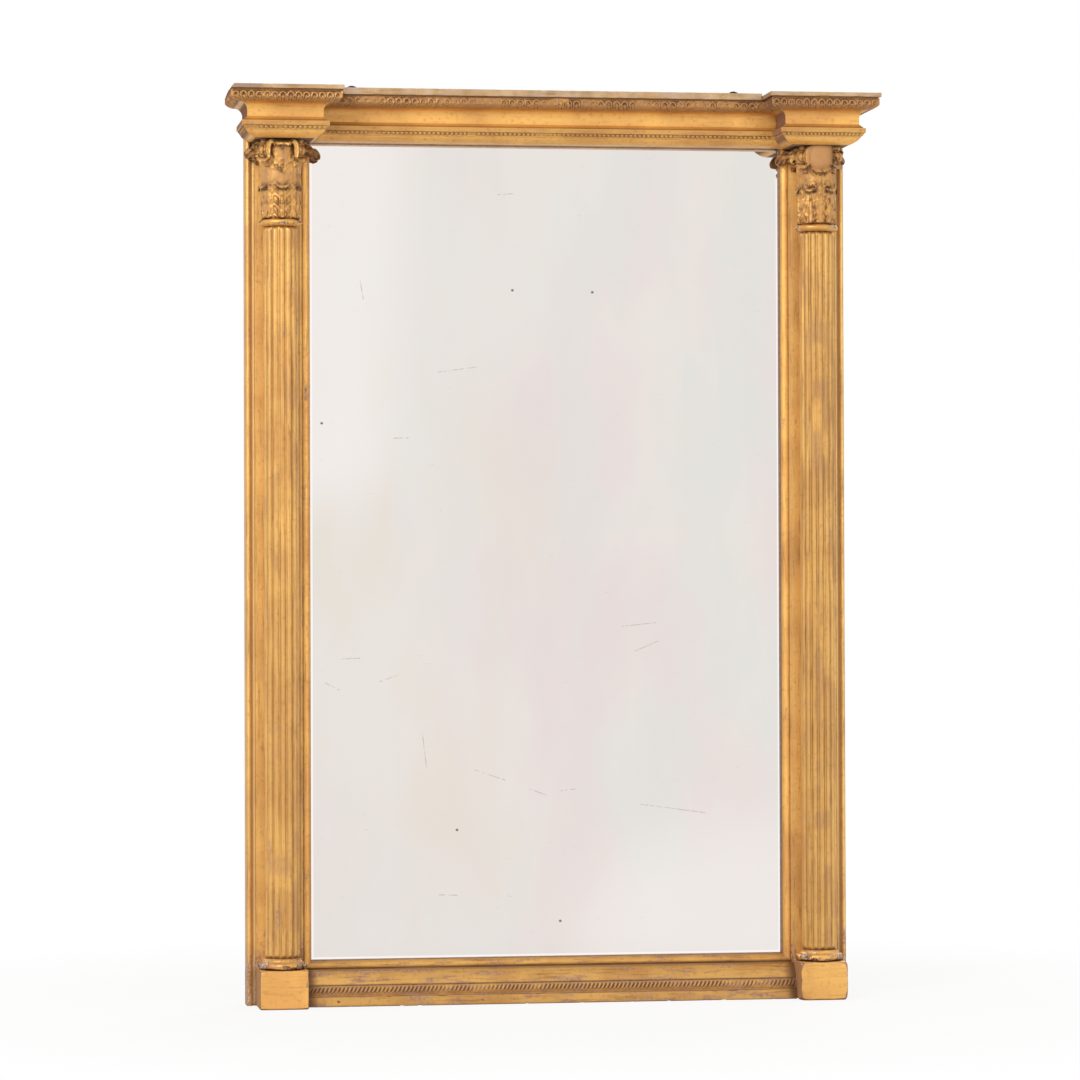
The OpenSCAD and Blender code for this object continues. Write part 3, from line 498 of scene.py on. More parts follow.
# Each lamp's place, what it points at, its side in metres and its watts.
LAMPS = {"key": ((-2.3, -3.0, 2.7), (0, 0, 0.75), 1.6, 80),
         "fill": ((2.6, -3.4, 0.9), (0, 0, 0.7), 2.2, 19),
         "back": ((1.5, 3.0, 2.6), (0, 0, 0.7), 2.0, 40)}


def white_for_eye(tree):
    """1 for rays from the camera, from gloss and through glass, and 0 for light that falls on things."""
    path = tree.nodes.new("ShaderNodeLightPath")
    seen = path.outputs["Is Camera Ray"]
    for other in ("Is Glossy Ray", "Is Transmission Ray"):
        top = tree.nodes.new("ShaderNodeMath")
        top.operation = "MAXIMUM"
        tree.links.new(seen, top.inputs[0])
        tree.links.new(path.outputs[other], top.inputs[1])
        seen = top.outputs[0]
    return seen


def show_white(tree, share, lit, white, output):
    """Sends the lit shader to the output, and by share the white one in its place."""
    choose = tree.nodes.new("ShaderNodeMixShader")
    for socket, source in zip(choose.inputs, (share, lit.outputs[0], white.outputs[0])):
        tree.links.new(source, socket)
    tree.links.new(choose.outputs[0], tree.nodes[output].inputs[0])


def make_world():
    world = bpy.data.worlds.new("studio")
    bpy.context.scene.world = world
    world.use_nodes = True
    tree = world.node_tree
    room = tree.nodes["Background"]
    white = tree.nodes.new("ShaderNodeBackground")
    for node, color, strength in ((room, SKY_COLOR, SKY_LEVEL), (white, (1, 1, 1, 1), 1.0)):
        node.inputs["Color"].default_value = color
        node.inputs["Strength"].default_value = strength
    show_white(tree, white_for_eye(tree), room, white, "World Output")


def make_floor():
    """A pale floor that lights the object from below and shows the eye only a soft shadow near it."""
    mesh = bpy.data.meshes.new("floor")
    corners = ((-1, -1), (1, -1), (1, 1), (-1, 1))
    mesh.from_pydata([(x * FLOOR_HALF, y * FLOOR_HALF, 0) for x, y in corners], [], [(0, 1, 2, 3)])
    floor = bpy.data.objects.new("floor", mesh)
    bpy.context.scene.collection.objects.link(floor)
    p = Paint("floor")
    p.feed(p.shader.inputs["Base Color"], FLOOR_COLOR)
    p.feed(p.shader.inputs["Roughness"], 0.9)
    glow = p.add("Emission")
    p.feed(glow.inputs["Strength"], 1.0)
    lit = p.ramp(p.vector("LENGTH", p.place), *FLOOR_FADE, FLOOR_SHADOW, 0.0)
    share = p.times(white_for_eye(p.tree), p.minus(1.0, lit))
    show_white(p.tree, share, p.shader, glow, "Material Output")
    mesh.materials.append(p.material)


def make_lamps():
    for name, (at, toward, side, watts) in LAMPS.items():
        data = bpy.data.lights.new(name, "AREA")
        data.size = side
        data.energy = watts
        lamp = bpy.data.objects.new(name, data)
        lamp.location = at
        lamp.rotation_euler = (Vector(toward) - Vector(at)).to_track_quat("-Z", "Y").to_euler()
        bpy.context.scene.collection.objects.link(lamp)


# ---- numbers ----

def smoothstep(x, low, high):
    t = np.clip((np.asarray(x, float) - low) / (high - low), 0, 1)
    return t * t * (3 - 2 * t)


def window(x, a, b, c, d):
    """0 below a, 1 from b to c and 0 again over d."""
    return smoothstep(x, a, b) * (1 - smoothstep(x, c, d))


def hump(x, width, power=2):
    """1 where x is 0, falling off smoothly to each side."""
    return np.exp(-(x / width) ** power)


def dome(x):
    """The height of a half circle of radius 1 at x, and 0 beyond it."""
    return np.sqrt(np.clip(1 - x ** 2, 0, 1))


def around(radius, angle, z, x=0.0, d=0.0):
    """Points at a radius and angle round an upright axis at x and d."""
    return np.stack([x + radius * np.sin(angle), d + radius * np.cos(angle), z], -1)


def lumps(points, size, seed=0, stretch=(1, 1, 1)):
    """Smooth noise from -1 to 1 at each point, in lumps about size across."""
    p = np.asarray(points, float) / (np.array(stretch) * size) + 17.3 * (seed + 1)
    cell = np.floor(p).astype(np.int64)
    part = p - cell
    part = part * part * (3 - 2 * part)
    total = np.zeros(p.shape[:-1])
    for corner in range(8):
        step = np.array([corner & 1, corner >> 1 & 1, corner >> 2])
        k = cell + step
        mixed = (k[..., 0] * 73856093) ^ (k[..., 1] * 19349663) ^ (k[..., 2] * 83492791) ^ (seed * 97531)
        mixed = ((mixed ^ (mixed >> 13)) * 1274126177) & 0x7FFFFFFF
        total += (mixed % 10007 / 5003.5 - 1) * np.prod(np.where(step, part, 1 - part), axis=-1)
    return total


CHANCE = np.random.default_rng(5).random(997)


def chance(k, seed=0):
    """A fixed number from 0 to 1 for each whole number k."""
    return CHANCE[(np.asarray(k).astype(int) * 7 + seed * 131) % len(CHANCE)]


def arc(p, q, bulge, n=8):
    """Points from p to q on an arc that stands bulge out to the right of the way from p to q."""
    p, q = np.array(p, float), np.array(q, float)
    chord = np.linalg.norm(q - p)
    radius = (chord * chord / 4 + bulge * bulge) / (2 * abs(bulge))
    side = math.copysign(1, bulge)
    normal = np.array([q[1] - p[1], p[0] - q[0]]) / chord * side
    centre = (p + q) / 2 - normal * (radius - abs(bulge))
    start = math.atan2(*(p - centre)[::-1])
    turn = 2 * math.asin(chord / 2 / radius) * side
    return [centre + radius * np.array([math.cos(start + turn * i / n), math.sin(start + turn * i / n)])
            for i in range(n + 1)]


def resample(line, step):
    """Points along a line no more than step apart, its own corners kept."""
    out = [np.array(line[0], float)]
    for a, b in zip(line[:-1], line[1:]):
        a, b = np.array(a, float), np.array(b, float)
        n = max(1, math.ceil(np.linalg.norm(b - a) / step - 1e-6))
        out += [a + (b - a) * i / n for i in range(1, n + 1)]
    return np.array(out)


# ---- meshes ----

def mesh_edges(mesh):
    edges = np.empty(len(mesh.edges) * 2, np.int32)
    mesh.edges.foreach_get("vertices", edges)
    return edges[0::2], edges[1::2]


def relax(points, edges, passes):
    """Points drawn halfway to the mean of their neighbours, again and again."""
    a, b = edges
    n = len(points)
    count = np.maximum(np.bincount(a, minlength=n) + np.bincount(b, minlength=n), 1)
    for _ in range(passes):
        mean = np.stack([np.bincount(a, points[b, k], n) + np.bincount(b, points[a, k], n)
                         for k in range(3)], 1) / count[:, None]
        points = (points + mean) / 2
    return points


def mesh_arrays(mesh):
    points, normals = np.empty(len(mesh.vertices) * 3), np.empty(len(mesh.vertices) * 3)
    mesh.vertices.foreach_get("co", points)
    mesh.vertices.foreach_get("normal", normals)
    return points.reshape(-1, 3), normals.reshape(-1, 3)


def ridges_and_hollows(mesh, passes):
    """Marks from the shape itself: what stands out, which the gilding paints with a highlight, and what
    lies low, which it darkens with soiling and painted shade.
    """
    points, normals = mesh_arrays(mesh)
    low = ((relax(points, mesh_edges(mesh), passes) - points) * normals).sum(1) / MM
    full = 0.42 * (passes / 8) ** 0.5
    return smoothstep(-low, 0.1 * full, full), smoothstep(low, 0.1 * full, full)


def chips_alone(share):
    """Wear marks that show chips by share and nothing else."""
    return np.ravel(share)[:, None] * (0.0, 1.0, 0.0)


def make_piece(name, points, faces, material, node, wear=None, carved=0, sharp=35, bare=None):
    """An object in a CAD node's place, from points in millimetres: x, depth and height. wear has marks for
    each point: ridges and rubbed places, which the gilding paints with a highlight (red instead on the
    caps' worn end), chips, and soiling, which the gilding lays on together with painted shade. carved is
    how many passes of smoothing tell hollows from ridges, and bare is the share of the leaf that is gone."""
    points = np.asarray(points, float) * (MM, -MM, MM)
    mesh = bpy.data.meshes.new(name)
    mesh.from_pydata(points.tolist(), [], [tuple(int(i) for i in f) for f in faces])
    mesh.update()
    marks = np.zeros((len(points), 4), np.float32)
    if wear is not None:
        marks[:, :3] = wear
    if carved:
        # ridges get a painted highlight, and hollows get soiling and painted shade
        rub, dirt_and_shade = ridges_and_hollows(mesh, carved)
        marks[:, 0] = np.maximum(marks[:, 0], rub)
        marks[:, 2] = np.maximum(marks[:, 2], dirt_and_shade)
    layer = mesh.color_attributes.new("wear", "FLOAT_COLOR", "POINT")
    layer.data.foreach_set("color", marks.ravel())
    if bare is not None:
        layer = mesh.attributes.new("bare", "FLOAT", "POINT")
        layer.data.foreach_set("value", np.asarray(bare, np.float32).ravel())
    mesh.polygons.foreach_set("use_smooth", [True] * len(mesh.polygons))
    mesh.set_sharp_from_angle(angle=math.radians(sharp))
    mesh.materials.append(material)
    piece = bpy.data.objects.new(name, mesh)
    bpy.context.scene.collection.objects.link(piece)
    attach(piece, "root")
    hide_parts(node)


def ring_faces(rings, across, joined=True):
    """Faces of rings that join up again, last to first, or else stay open."""
    return [(i * across + j, i * across + (j + 1) % across,
             (i + 1) % rings * across + (j + 1) % across, (i + 1) % rings * across + j)
            for i in range(rings if joined else rings - 1) for j in range(across)]


def tube(rings):
    """Points and faces of a closed tube of rings, with both ends capped."""
    points = np.array(rings, float)
    rings, across = points.shape[:2]
    last = (rings - 1) * across
    ends = [tuple(range(across - 1, -1, -1)), tuple(range(last, last + across))]
    return points.reshape(-1, 3), ring_faces(rings, across, False) + ends


def sheet(front, back):
    """A closed sheet from two grids of points, rows by columns."""
    rows, cols = front.shape[:2]
    half = rows * cols
    rim = ([(0, j) for j in range(cols)] + [(i, cols - 1) for i in range(1, rows)] +
           [(rows - 1, j) for j in range(cols - 2, -1, -1)] + [(i, 0) for i in range(rows - 2, 0, -1)])
    rim = [i * cols + j for i, j in rim]
    faces = []
    for i in range(rows - 1):
        for j in range(cols - 1):
            a = i * cols + j
            faces.append((a, a + 1, a + cols + 1, a + cols))
            faces.append((half + a, half + a + cols, half + a + cols + 1, half + a + 1))
    faces += [(b, a, half + a, half + b) for a, b in zip(rim, rim[1:] + rim[:1])]
    return np.concatenate([front.reshape(-1, 3), back.reshape(-1, 3)]), faces


def merge(shells):
    points, faces, start = [], [], 0
    for shell_points, shell_faces in shells:
        points.append(np.asarray(shell_points, float))
        faces += [tuple(i + start for i in face) for face in shell_faces]
        start += len(shell_points)
    return np.concatenate(points), faces


def fuse(shells, voxel, passes):
    """Points and faces of one smooth skin round overlapping solids, with its normals."""
    points, faces = merge(shells)
    mesh = bpy.data.meshes.new("shells")
    mesh.from_pydata(points.tolist(), [], faces)
    holder = bpy.data.objects.new("shells", mesh)
    bpy.context.scene.collection.objects.link(holder)
    remesh = holder.modifiers.new("skin", "REMESH")
    remesh.mode = "VOXEL"
    remesh.voxel_size = voxel
    skin = bpy.data.meshes.new_from_object(holder.evaluated_get(bpy.context.evaluated_depsgraph_get()))
    bpy.data.objects.remove(holder)
    bpy.data.meshes.remove(mesh)
    points, _ = mesh_arrays(skin)
    points = relax(points, mesh_edges(skin), passes)
    skin.vertices.foreach_set("co", points.ravel())
    skin.update()
    points, normals = mesh_arrays(skin)
    corners = np.empty(len(skin.loops), np.int32)
    skin.loops.foreach_get("vertex_index", corners)
    bpy.data.meshes.remove(skin)
    return points, corners.reshape(-1, 4), normals


# ---- mouldings ----

def right_break(reach):
    """Plan of a moulding round the right block: outer side, front, inner side."""
    return [(BLOCK_OUT + reach, WRAP_BACK), (BLOCK_OUT + reach, BLOCK_FRONT + reach),
            (BLOCK_IN - reach, BLOCK_FRONT + reach), (BLOCK_IN - reach, BEAM_FRONT + reach)]


def left_break(reach):
    return [(-x, d) for x, d in reversed(right_break(reach))]


def middle_run(reach):
    return [(BLOCK_IN - reach, BEAM_FRONT + reach), (reach - BLOCK_IN, BEAM_FRONT + reach)]


def foot_run(reach):
    """Along the bottom between the plinths, where a moulding's reach is its depth from the wall."""
    return [(PLINTH_LO.x, reach), (-PLINTH_LO.x, reach)]


def plan_point(plan, reach, run, share):
    corners = plan(reach)
    (x0, d0), (x1, d1) = corners[run], corners[run + 1]
    return (x0 + (x1 - x0) * share, d0 + (d1 - d0) * share)


def moulding(name, plan, face, relief, material, node, step=0.8, face_step=0.6, back=0.0, bare=0.0):
    """A moulding with mitred corners along a plan. face is its outline, [reach, height], from the bottom
    up. relief(u, v, run, length) lifts its surface, u along a run and v up the face. back is the reach at
    which it is closed behind, and bare the share of its leaf that is gone."""
    line = resample(face, face_step)
    ahead = np.gradient(line, axis=0)
    normal = np.stack([ahead[:, 1], -ahead[:, 0]], 1)
    normal /= np.linalg.norm(normal, axis=1)[:, None]
    v = np.concatenate([[0], np.cumsum(np.linalg.norm(np.diff(line, axis=0), axis=1))])
    corners = np.array(plan(float(line[:, 0].max())), float)
    rows = []
    for run in range(len(corners) - 1):
        length = np.linalg.norm(corners[run + 1] - corners[run])
        n = math.ceil(length / step)
        for i in range(0 if run == 0 else 1, n + 1):
            u = length * i / n
            lift = relief(u, v, run, length) * smoothstep(min(u, length - u), 0, 3)
            reach, height = (line + normal * lift[:, None]).T
            ring = [plan_point(plan, r, run, i / n) + (z,) for r, z in zip(reach, height)]
            ring += [plan_point(plan, back, run, i / n) + (z,) for z in (line[-1, 1], line[0, 1])]
            rows.append(ring)
    points, faces = tube(rows)
    gone = bare * (1 + 0.5 * lumps(points, 14, 70))
    make_piece(name, points, faces, material, node, carved=8, bare=gone)


LEAF_PITCH = 11.6
LEAF_FOOT_OUT, LEAF_OUT, LEAF_LIP_OUT = 24, 37, 35.5        # reach at the foot, over the curve and on top
LEAF_BENDS = (1285, 1293.5, 1294.5)     # heights where the curve ends and the step in starts and ends
LEAF_FACE = (arc((LEAF_FOOT_OUT, LEAF_LO.z), (LEAF_OUT, LEAF_BENDS[0]), 1.5, 5) +
             [(LEAF_OUT, LEAF_BENDS[1]), (LEAF_LIP_OUT, LEAF_BENDS[2]), (LEAF_LIP_OUT, LEAF_HI.z)])
LEAF_TOP = 21.6             # how far up the face an arch reaches
BEAD_FILLET = (20.5, 6.5)   # reach and height of the plain fillet over the beads
BEAD_FACE = [(14.5, BEAD_LO.z), (19.5, BEAD_HI.z - BEAD_FILLET[1]),
             (BEAD_FILLET[0], BEAD_HI.z - BEAD_FILLET[1]), (BEAD_FILLET[0], BEAD_HI.z)]
RUN_APART = 400             # keeps the lumps of one run apart from the next one's
# Each side's plan, how worn its leaves are, how much of their leaf is gone, the beads' pitch and its seed.
ORNAMENT = {"left": (left_break, 0.20, 0.2, 7.2, 4), "right": (right_break, 0.35, 0.4, 5.8, 5),
            "centre": (middle_run, 0.55, 0.4, 6.4, 6)}


def face_spots(u, v, apart):
    """Places on a moulding's face for lumps(). apart keeps one moulding's from another's."""
    return np.stack([np.full_like(v, u), v, np.full_like(v, apart)], -1)


def tongues(worn, seed):
    """Arched tongues with raised rims, hollows under the arches and darts between them. worn is the share
    of the relief that time has taken."""
    def relief(u, v, run, length):
        pitch = length / max(1, round(length / LEAF_PITCH))
        k = int(u // pitch)
        x = abs((u / pitch) % 1.0 * 2 - 1) * pitch / 2
        half = (0.40 + 0.03 * chance(k, seed + 1)) * pitch
        top = LEAF_TOP - 0.8 * chance(k, seed + 2)
        spring = top - half
        arch = np.where(v > spring, np.hypot(x, v - spring), x + 0.0 * v)
        legs = half - 0.4 - 0.9 * np.clip(1 - v / spring, 0, 1)
        rim = 1.35 * hump(arch - legs, 1.25, 4)
        tongue = 1.1 * np.clip(1 - (x / 2.2) ** 2, 0, 1) * smoothstep(v, 1, 4) * (1 - smoothstep(v, 11, 14))
        in_pit = 2.6 + 0.6 * chance(k, seed + 4) - np.hypot(x, 0.75 * (v - spring - 0.2))
        gap = -0.7 * smoothstep(arch - half, 0.6, 1.8) * smoothstep(v, 12, 17)
        dart = 0.8 * hump(pitch / 2 - x, 0.9) * (1 - smoothstep(v, 8, 13))
        spots = face_spots(u + RUN_APART * run, v, 3.0 * seed)
        lost = worn + 0.45 * lumps(spots, 26, seed, (1, 9, 1)) + 0.25 * lumps(spots, 6, seed)
        carving = rim + tongue + -1.7 * smoothstep(in_pit, 0, 0.9) + gap + dart - 1.1
        out = carving * (1 - np.clip(lost, 0, 0.92)) + 0.25 * lumps(spots, 3, seed + 3)
        return out * smoothstep(v, 0, 1.5) * (1 - smoothstep(v, 22.2, 23.0))
    return relief


def beads(pitch_wanted, seed):
    """A row of small worn beads in a shallow hollow, under a plain fillet."""
    def relief(u, v, run, length):
        pitch = length / max(1, round(length / pitch_wanted))
        k = int(u // pitch)
        s = (u / pitch) % 1.0 * 2 - 1
        size = 0.74 + 0.16 * chance(k, seed)
        away = np.hypot(s / size, (v - 4.6) / (2.3 + 0.5 * chance(k, seed + 1)))
        spots = face_spots(u + RUN_APART * run, v, 3.0 * seed)
        lost = smoothstep(lumps(spots, 20, seed), 0.15, 0.65)
        hollow = -1.1 * smoothstep(v, 1.2, 3.0) * (1 - smoothstep(v, 7.0, 8.0))
        wave = 0.7 * lumps(spots, 5, seed + 5) * smoothstep(v, 0, 1) * (1 - smoothstep(v, 2, 3.5))
        return 1.8 * dome(away) * (1 - 0.75 * lost) + hollow + wave + 0.18 * lumps(spots, 3.5, seed)
    return relief


def make_ornament(finish):
    for side, (plan, worn, gone, pitch, seed) in ORNAMENT.items():
        moulding("leaf_ornament_" + side, plan, LEAF_FACE, tongues(worn, seed),
                 finish["leaf_" + side + "_gilt"], "leaf_strip_" + side, bare=gone)
        moulding("bead_ornament_" + side, plan, BEAD_FACE, beads(pitch, seed), finish["bead_gilt"],
                 "bead_strip_" + side, step=0.7)


STROKE_PITCH = 5.8
STROKE_SLANT = 0.45
STROKE_AT, STROKE_HALF = 10.2, 5.2      # the strokes' middle, up the face, and half their length


def foot_strokes(u, v, run, length):
    """Slanting strokes cut in the upper part of the strip, over a plain hollow band."""
    way = u + STROKE_SLANT * v
    across = dome(((way / STROKE_PITCH) % 1.0 * 2 - 1) / 0.66)
    spots = face_spots(u, v, 0.0)
    lost = 0.55 * smoothstep(lumps(spots, 18, 3) + 0.6 * chance(way // STROKE_PITCH, 4), 0.2, 1.0)
    strokes = 1.9 * across * dome((v - STROKE_AT) / STROKE_HALF) * (1 - lost)
    return strokes - 1.3 * smoothstep(v, 0, 2) + 0.3 * lumps(spots, 4, 9)


def dents(u, v, run, length):
    """A plain moulding's small unevenness and its knocked places."""
    spots = face_spots(u, v, 14.0)
    return 0.2 * lumps(spots, 18, 2, (3, 1, 1)) - 1.1 * smoothstep(lumps(spots, 9, 3), 0.55, 0.85)


def make_foot(finish):
    gilt, front = finish["foot_gilt"], -STROKE_LO.y
    face = arc((front - 2, STROKE_LO.z), (front - 2, STROKE_HI.z), 2, 6)
    moulding("foot_strokes", foot_run, face, foot_strokes, gilt, "foot_bead_strip", back=STILE_FACE,
             bare=0.5)
    front, top = -FILLET_LO.y, FILLET_HI.z
    face = [(front - 1, 0), (front, 1), (front, top - 1), (front - 1, top)]
    moulding("foot_edge", foot_run, face, dents, gilt, "foot_fillet", 1.5, 1.2, STILE_FACE)


# ---- blocks and boards with knocked edges ----

BLOCK_STEP = 3.0
NEAR_EDGE = [0, 0.4, 0.9, 1.6, 2.5, 3.6, 5.0]


def block_places(lo, hi):
    """Places along one side of a block, close together near its ends."""
    length, near = hi - lo, NEAR_EDGE[-1]
    if length < 2 * near + BLOCK_STEP:
        return np.linspace(lo, hi, 10)
    middle = np.linspace(near, length - near, max(2, math.ceil(length / BLOCK_STEP)))[1:-1]
    return lo + np.array(NEAR_EDGE + list(middle) + [length - v for v in reversed(NEAR_EDGE)])


def block_lattice(lo, hi):
    """Points and faces of a box cut into cells."""
    places = [block_places(lo[k], hi[k]) for k in range(3)]
    shape = [len(p) for p in places]
    grid = np.stack(np.meshgrid(*places, indexing="ij"), -1)
    sides = [(slice(None),) * k + (end,) for k in range(3) for end in (0, -1)]
    outer = np.zeros(shape, bool)
    for side in sides:
        outer[side] = True
    index = np.full(shape, -1)
    index[outer] = np.arange(outer.sum())
    faces = []
    for side in sides:
        face = index[side]
        quads = np.stack([face[:-1, :-1], face[1:, :-1], face[1:, 1:], face[:-1, 1:]], -1).reshape(-1, 4)
        turned = (side[-1] == 0) == (len(side) != 2)
        faces += (quads if turned else quads[:, ::-1]).tolist()
    return grid[outer], faces


def worn_block(name, node, material, radius, chip, seed, blunt=0.0, reshape=None):
    """A node's block with rounded edges that have lost chips here and there. blunt is how much more is
    gone at its corners, and reshape changes its points and its wear."""
    low, high = box_mm(node)
    lo, hi = np.array((low.x, -high.y, low.z), float), np.array((high.x, -low.y, high.z), float)
    points, faces = block_lattice(lo, hi)
    room = (hi - lo).min() / 2 - 0.3
    rough = radius * (1 + 0.5 * lumps(points, 5, seed))
    rough = rough + chip * smoothstep(lumps(points, 10, seed + 1), 0.40, 0.75)
    apart = np.sort(np.minimum(points - lo, hi - points), axis=1)[:, 2]
    rough = rough + blunt * (1 - smoothstep(apart, 0, 16)) * (1 + 0.7 * lumps(points, 8, seed + 2))
    rough = np.clip(rough, 0.25, room)[:, None]
    core = np.clip(points, lo + rough, hi - rough)
    out = points - core
    moved = core + out * rough / np.maximum(np.linalg.norm(out, axis=1), 1e-6)[:, None]
    lost = np.linalg.norm(moved - points, axis=1)
    wear = chips_alone(0.40 * smoothstep(lost, 0.15, 0.5) + 0.5 * smoothstep(lost, 0.9, 1.8))
    bare = 0.85 * smoothstep(lost + 0.25 * lumps(points, 4, seed + 3), 0.15, 0.8)
    if reshape:
        moved, wear = reshape(moved, wear)
    make_piece(name, moved, faces, material, node, wear, bare=bare)


CAP_WORN = 7.5              # how far the left cap's outer end is worn back
CAP_WORN_FROM = 26          # how far from that end it starts
CAP_RUBBED = (55, 38)       # how far from that end its rubbing starts and is full
CAP_NOTCH = 3.8             # the back edge of a cap stands clear of the stile's bead by this


def clear_of_stile(points, wear):
    x, d, z = points.T
    over_stile = (np.abs(x) > BLOCK_IN) & (np.abs(x) < STILE_OUT)
    d = np.where(over_stile, np.maximum(d, STILE_FACE + CAP_NOTCH), d)
    return np.stack([x, d, z], 1), wear


def worn_end(points, wear):
    """The left cap: clear of the stile, and worn back at its outer end."""
    cut, wear = clear_of_stile(points, wear)
    x, d, z = cut.T
    end = smoothstep(x, -CAP_HI.x + CAP_WORN_FROM, -CAP_HI.x)
    high = 0.35 + 0.65 * (z - CAP_LO.z) / (CAP_HI.z - CAP_LO.z)
    ragged = 1 + 0.35 * lumps(points, 11, 4)
    wear[:, 0] = smoothstep(x, *(-CAP_HI.x + edge for edge in CAP_RUBBED))
    wear[:, 2] = 0.45 * wear[:, 0]
    return np.stack([x + CAP_WORN * end * high * ragged, d, z], 1), wear


def make_caps(finish):
    for name, chip, seed, reshape in (("left", 2.2, 1, worn_end), ("right", 2.2, 3, clear_of_stile),
                                      ("centre", 1.8, 6, None)):
        worn_block("cap_board_" + name, "cap_" + name, finish["cap_gilt"], 0.7, chip, seed, 0.0, reshape)


def make_plinths(finish):
    for side, name in SIDES:
        worn_block("plinth_block_" + name, "plinth_" + name, finish["plinth_" + name + "_gilt"],
                   2.2 + 0.2 * side, 4.2, 8 + side, 2.4 + 1.2 * side)


# ---- columns ----

REED_N = 14
REED_R = 3.6
CORE_R = (SHAFT_HI.y - SHAFT_LO.y) / 2 - REED_R
REED_PER = 12               # points across a reed
REED_GAP = 0.8              # how far the bottom of the gaps stands out from the core
REED_END = 5.0              # length of a reed's rounded end
REED_FROM = 2               # how far from the shaft's ends the reeds stop
SHAFT_STEP = 3.0
DOWEL_ROOM = 5.2
TURN_N = 144                # points round a turned piece


def make_shaft(side, name, finish):
    """A shaft with reeds all round, worn and uneven along their length and rounded off at their ends."""
    z = np.linspace(SHAFT_LO.z, SHAFT_HI.z, round((SHAFT_HI.z - SHAFT_LO.z) / SHAFT_STEP) + 1)
    ends = np.array([REED_END * f for f in (0.25, 0.5, 0.75, 1.0, 1.4)])
    z = np.sort(np.concatenate([z, SHAFT_LO.z + REED_FROM + ends, SHAFT_HI.z - REED_FROM - ends]))
    a = np.arange(REED_N * REED_PER) / (REED_N * REED_PER) * 2 * math.pi
    pitch = 2 * math.pi / REED_N
    reed = np.floor(a / pitch + 0.5)
    off = a - reed * pitch
    half = REED_R * (0.96 + 0.08 * chance(reed % REED_N, 3 + side))
    lift = np.sqrt(np.clip(half ** 2 - (CORE_R * np.sin(off)) ** 2, 0, None)) + CORE_R * (np.cos(off) - 1)
    lift = np.maximum(lift, REED_GAP)[None, :]
    from_end = np.minimum(z - SHAFT_LO.z, SHAFT_HI.z - z)[:, None] - REED_FROM
    rounded = dome(1 - np.clip(from_end / REED_END, 0, 1))
    angle, height = np.meshgrid(a, z)
    spots = around(CORE_R, angle, height)
    rubbed = 0.35 * smoothstep(lumps(spots, 11, 20 + side, (1, 1, 6)), 0.0, 0.6)
    uneven = 0.12 * lumps(spots, 4, 22 + side, (1, 1, 4))
    radius = CORE_R + (lift * (1 - rubbed) + 0.5) * rounded - 0.5 + uneven
    points, faces = tube(around(radius, angle, height, side * COLUMN_X, COLUMN_D))
    bare = 0.55 * smoothstep(lumps(spots, 13, 26 + side, (1, 1, 3)), 0.25, 0.75)
    make_piece("reeded_shaft_" + name, points, faces, finish["shaft_" + name + "_gilt"], "shaft_" + name,
               chips_alone(0.5 * rubbed), carved=3, bare=bare)


def make_turned(name, side, section, material, node, seed, chipped):
    """A turned ring from half its section, [radius, height], with knocks on what stands out most. chipped
    is how much more of them its sides have."""
    line = resample(section + [section[0]], 0.9)[:-1]
    a = np.arange(TURN_N) / TURN_N * 2 * math.pi
    radius, angle = np.meshgrid(line[:, 0], a)
    height = np.meshgrid(line[:, 1], a)[0]
    spots = around(radius, angle, height, side * COLUMN_X, COLUMN_D)
    most = line[:, 0].max()
    flank = 0.5 * chipped * smoothstep(np.abs(np.sin(angle)), 0.35, 0.7)
    knock = smoothstep(0.7 * lumps(spots, 6, seed) + 0.4 * lumps(spots, 2.5, seed + 2) + flank, 0.30, 0.60)
    knock = knock * smoothstep(radius, 0.8 * most, most)
    radius = radius - 1.8 * knock - 0.5 * lumps(spots, 2.5, seed + 1) * knock
    points = around(radius, angle, height, side * COLUMN_X, COLUMN_D).reshape(-1, 3)
    make_piece(name, points, ring_faces(TURN_N, len(line)), material, node, chips_alone(0.9 * knock),
               carved=3)


def base_section():
    z0, radius, height = BASE_LO.z, (BASE_HI.x - BASE_LO.x) / 2, BASE_HI.z - BASE_LO.z
    torus = height * 0.66
    collar = CORE_R + REED_R + 2
    torus_in = radius - torus / 2
    return ([(DOWEL_ROOM, z0)] + arc((torus_in, z0), (torus_in, z0 + torus), torus / 2 - 0.1, 12) +
            arc((collar + 2, z0 + torus), (collar, z0 + height - 2), -0.6, 4) +
            [(collar, z0 + height), (DOWEL_ROOM, z0 + height)])


def ring_section():
    z0, radius, bead = RING_LO.z, (RING_HI.x - RING_LO.x) / 2, (RING_HI.z - RING_LO.z - 2) / 2
    neck = CORE_R + REED_R
    return ([(DOWEL_ROOM, z0), (neck, z0)] +
            arc((radius - bead, z0 + 1), (radius - bead, z0 + 1 + 2 * bead), bead - 0.1, 12) +
            [(neck, RING_HI.z), (DOWEL_ROOM, RING_HI.z)])


def make_columns(finish):
    for side, name in SIDES:
        make_shaft(side, name, finish)
        make_turned("turned_base_" + name, side, base_section(), finish["base_gilt"],
                    "column_base_" + name, 30 + side, 1.0)
        make_turned("astragal_ring_" + name, side, ring_section(), finish["column_gilt"],
                    "astragal_" + name, 40 + side, 0.3)


# ---- capitals ----
# A capital is carved about its column's axis: x across, d forward of the axis and z up from the floor.
# Its solids are fused into one skin, as the gesso runs over the carving.

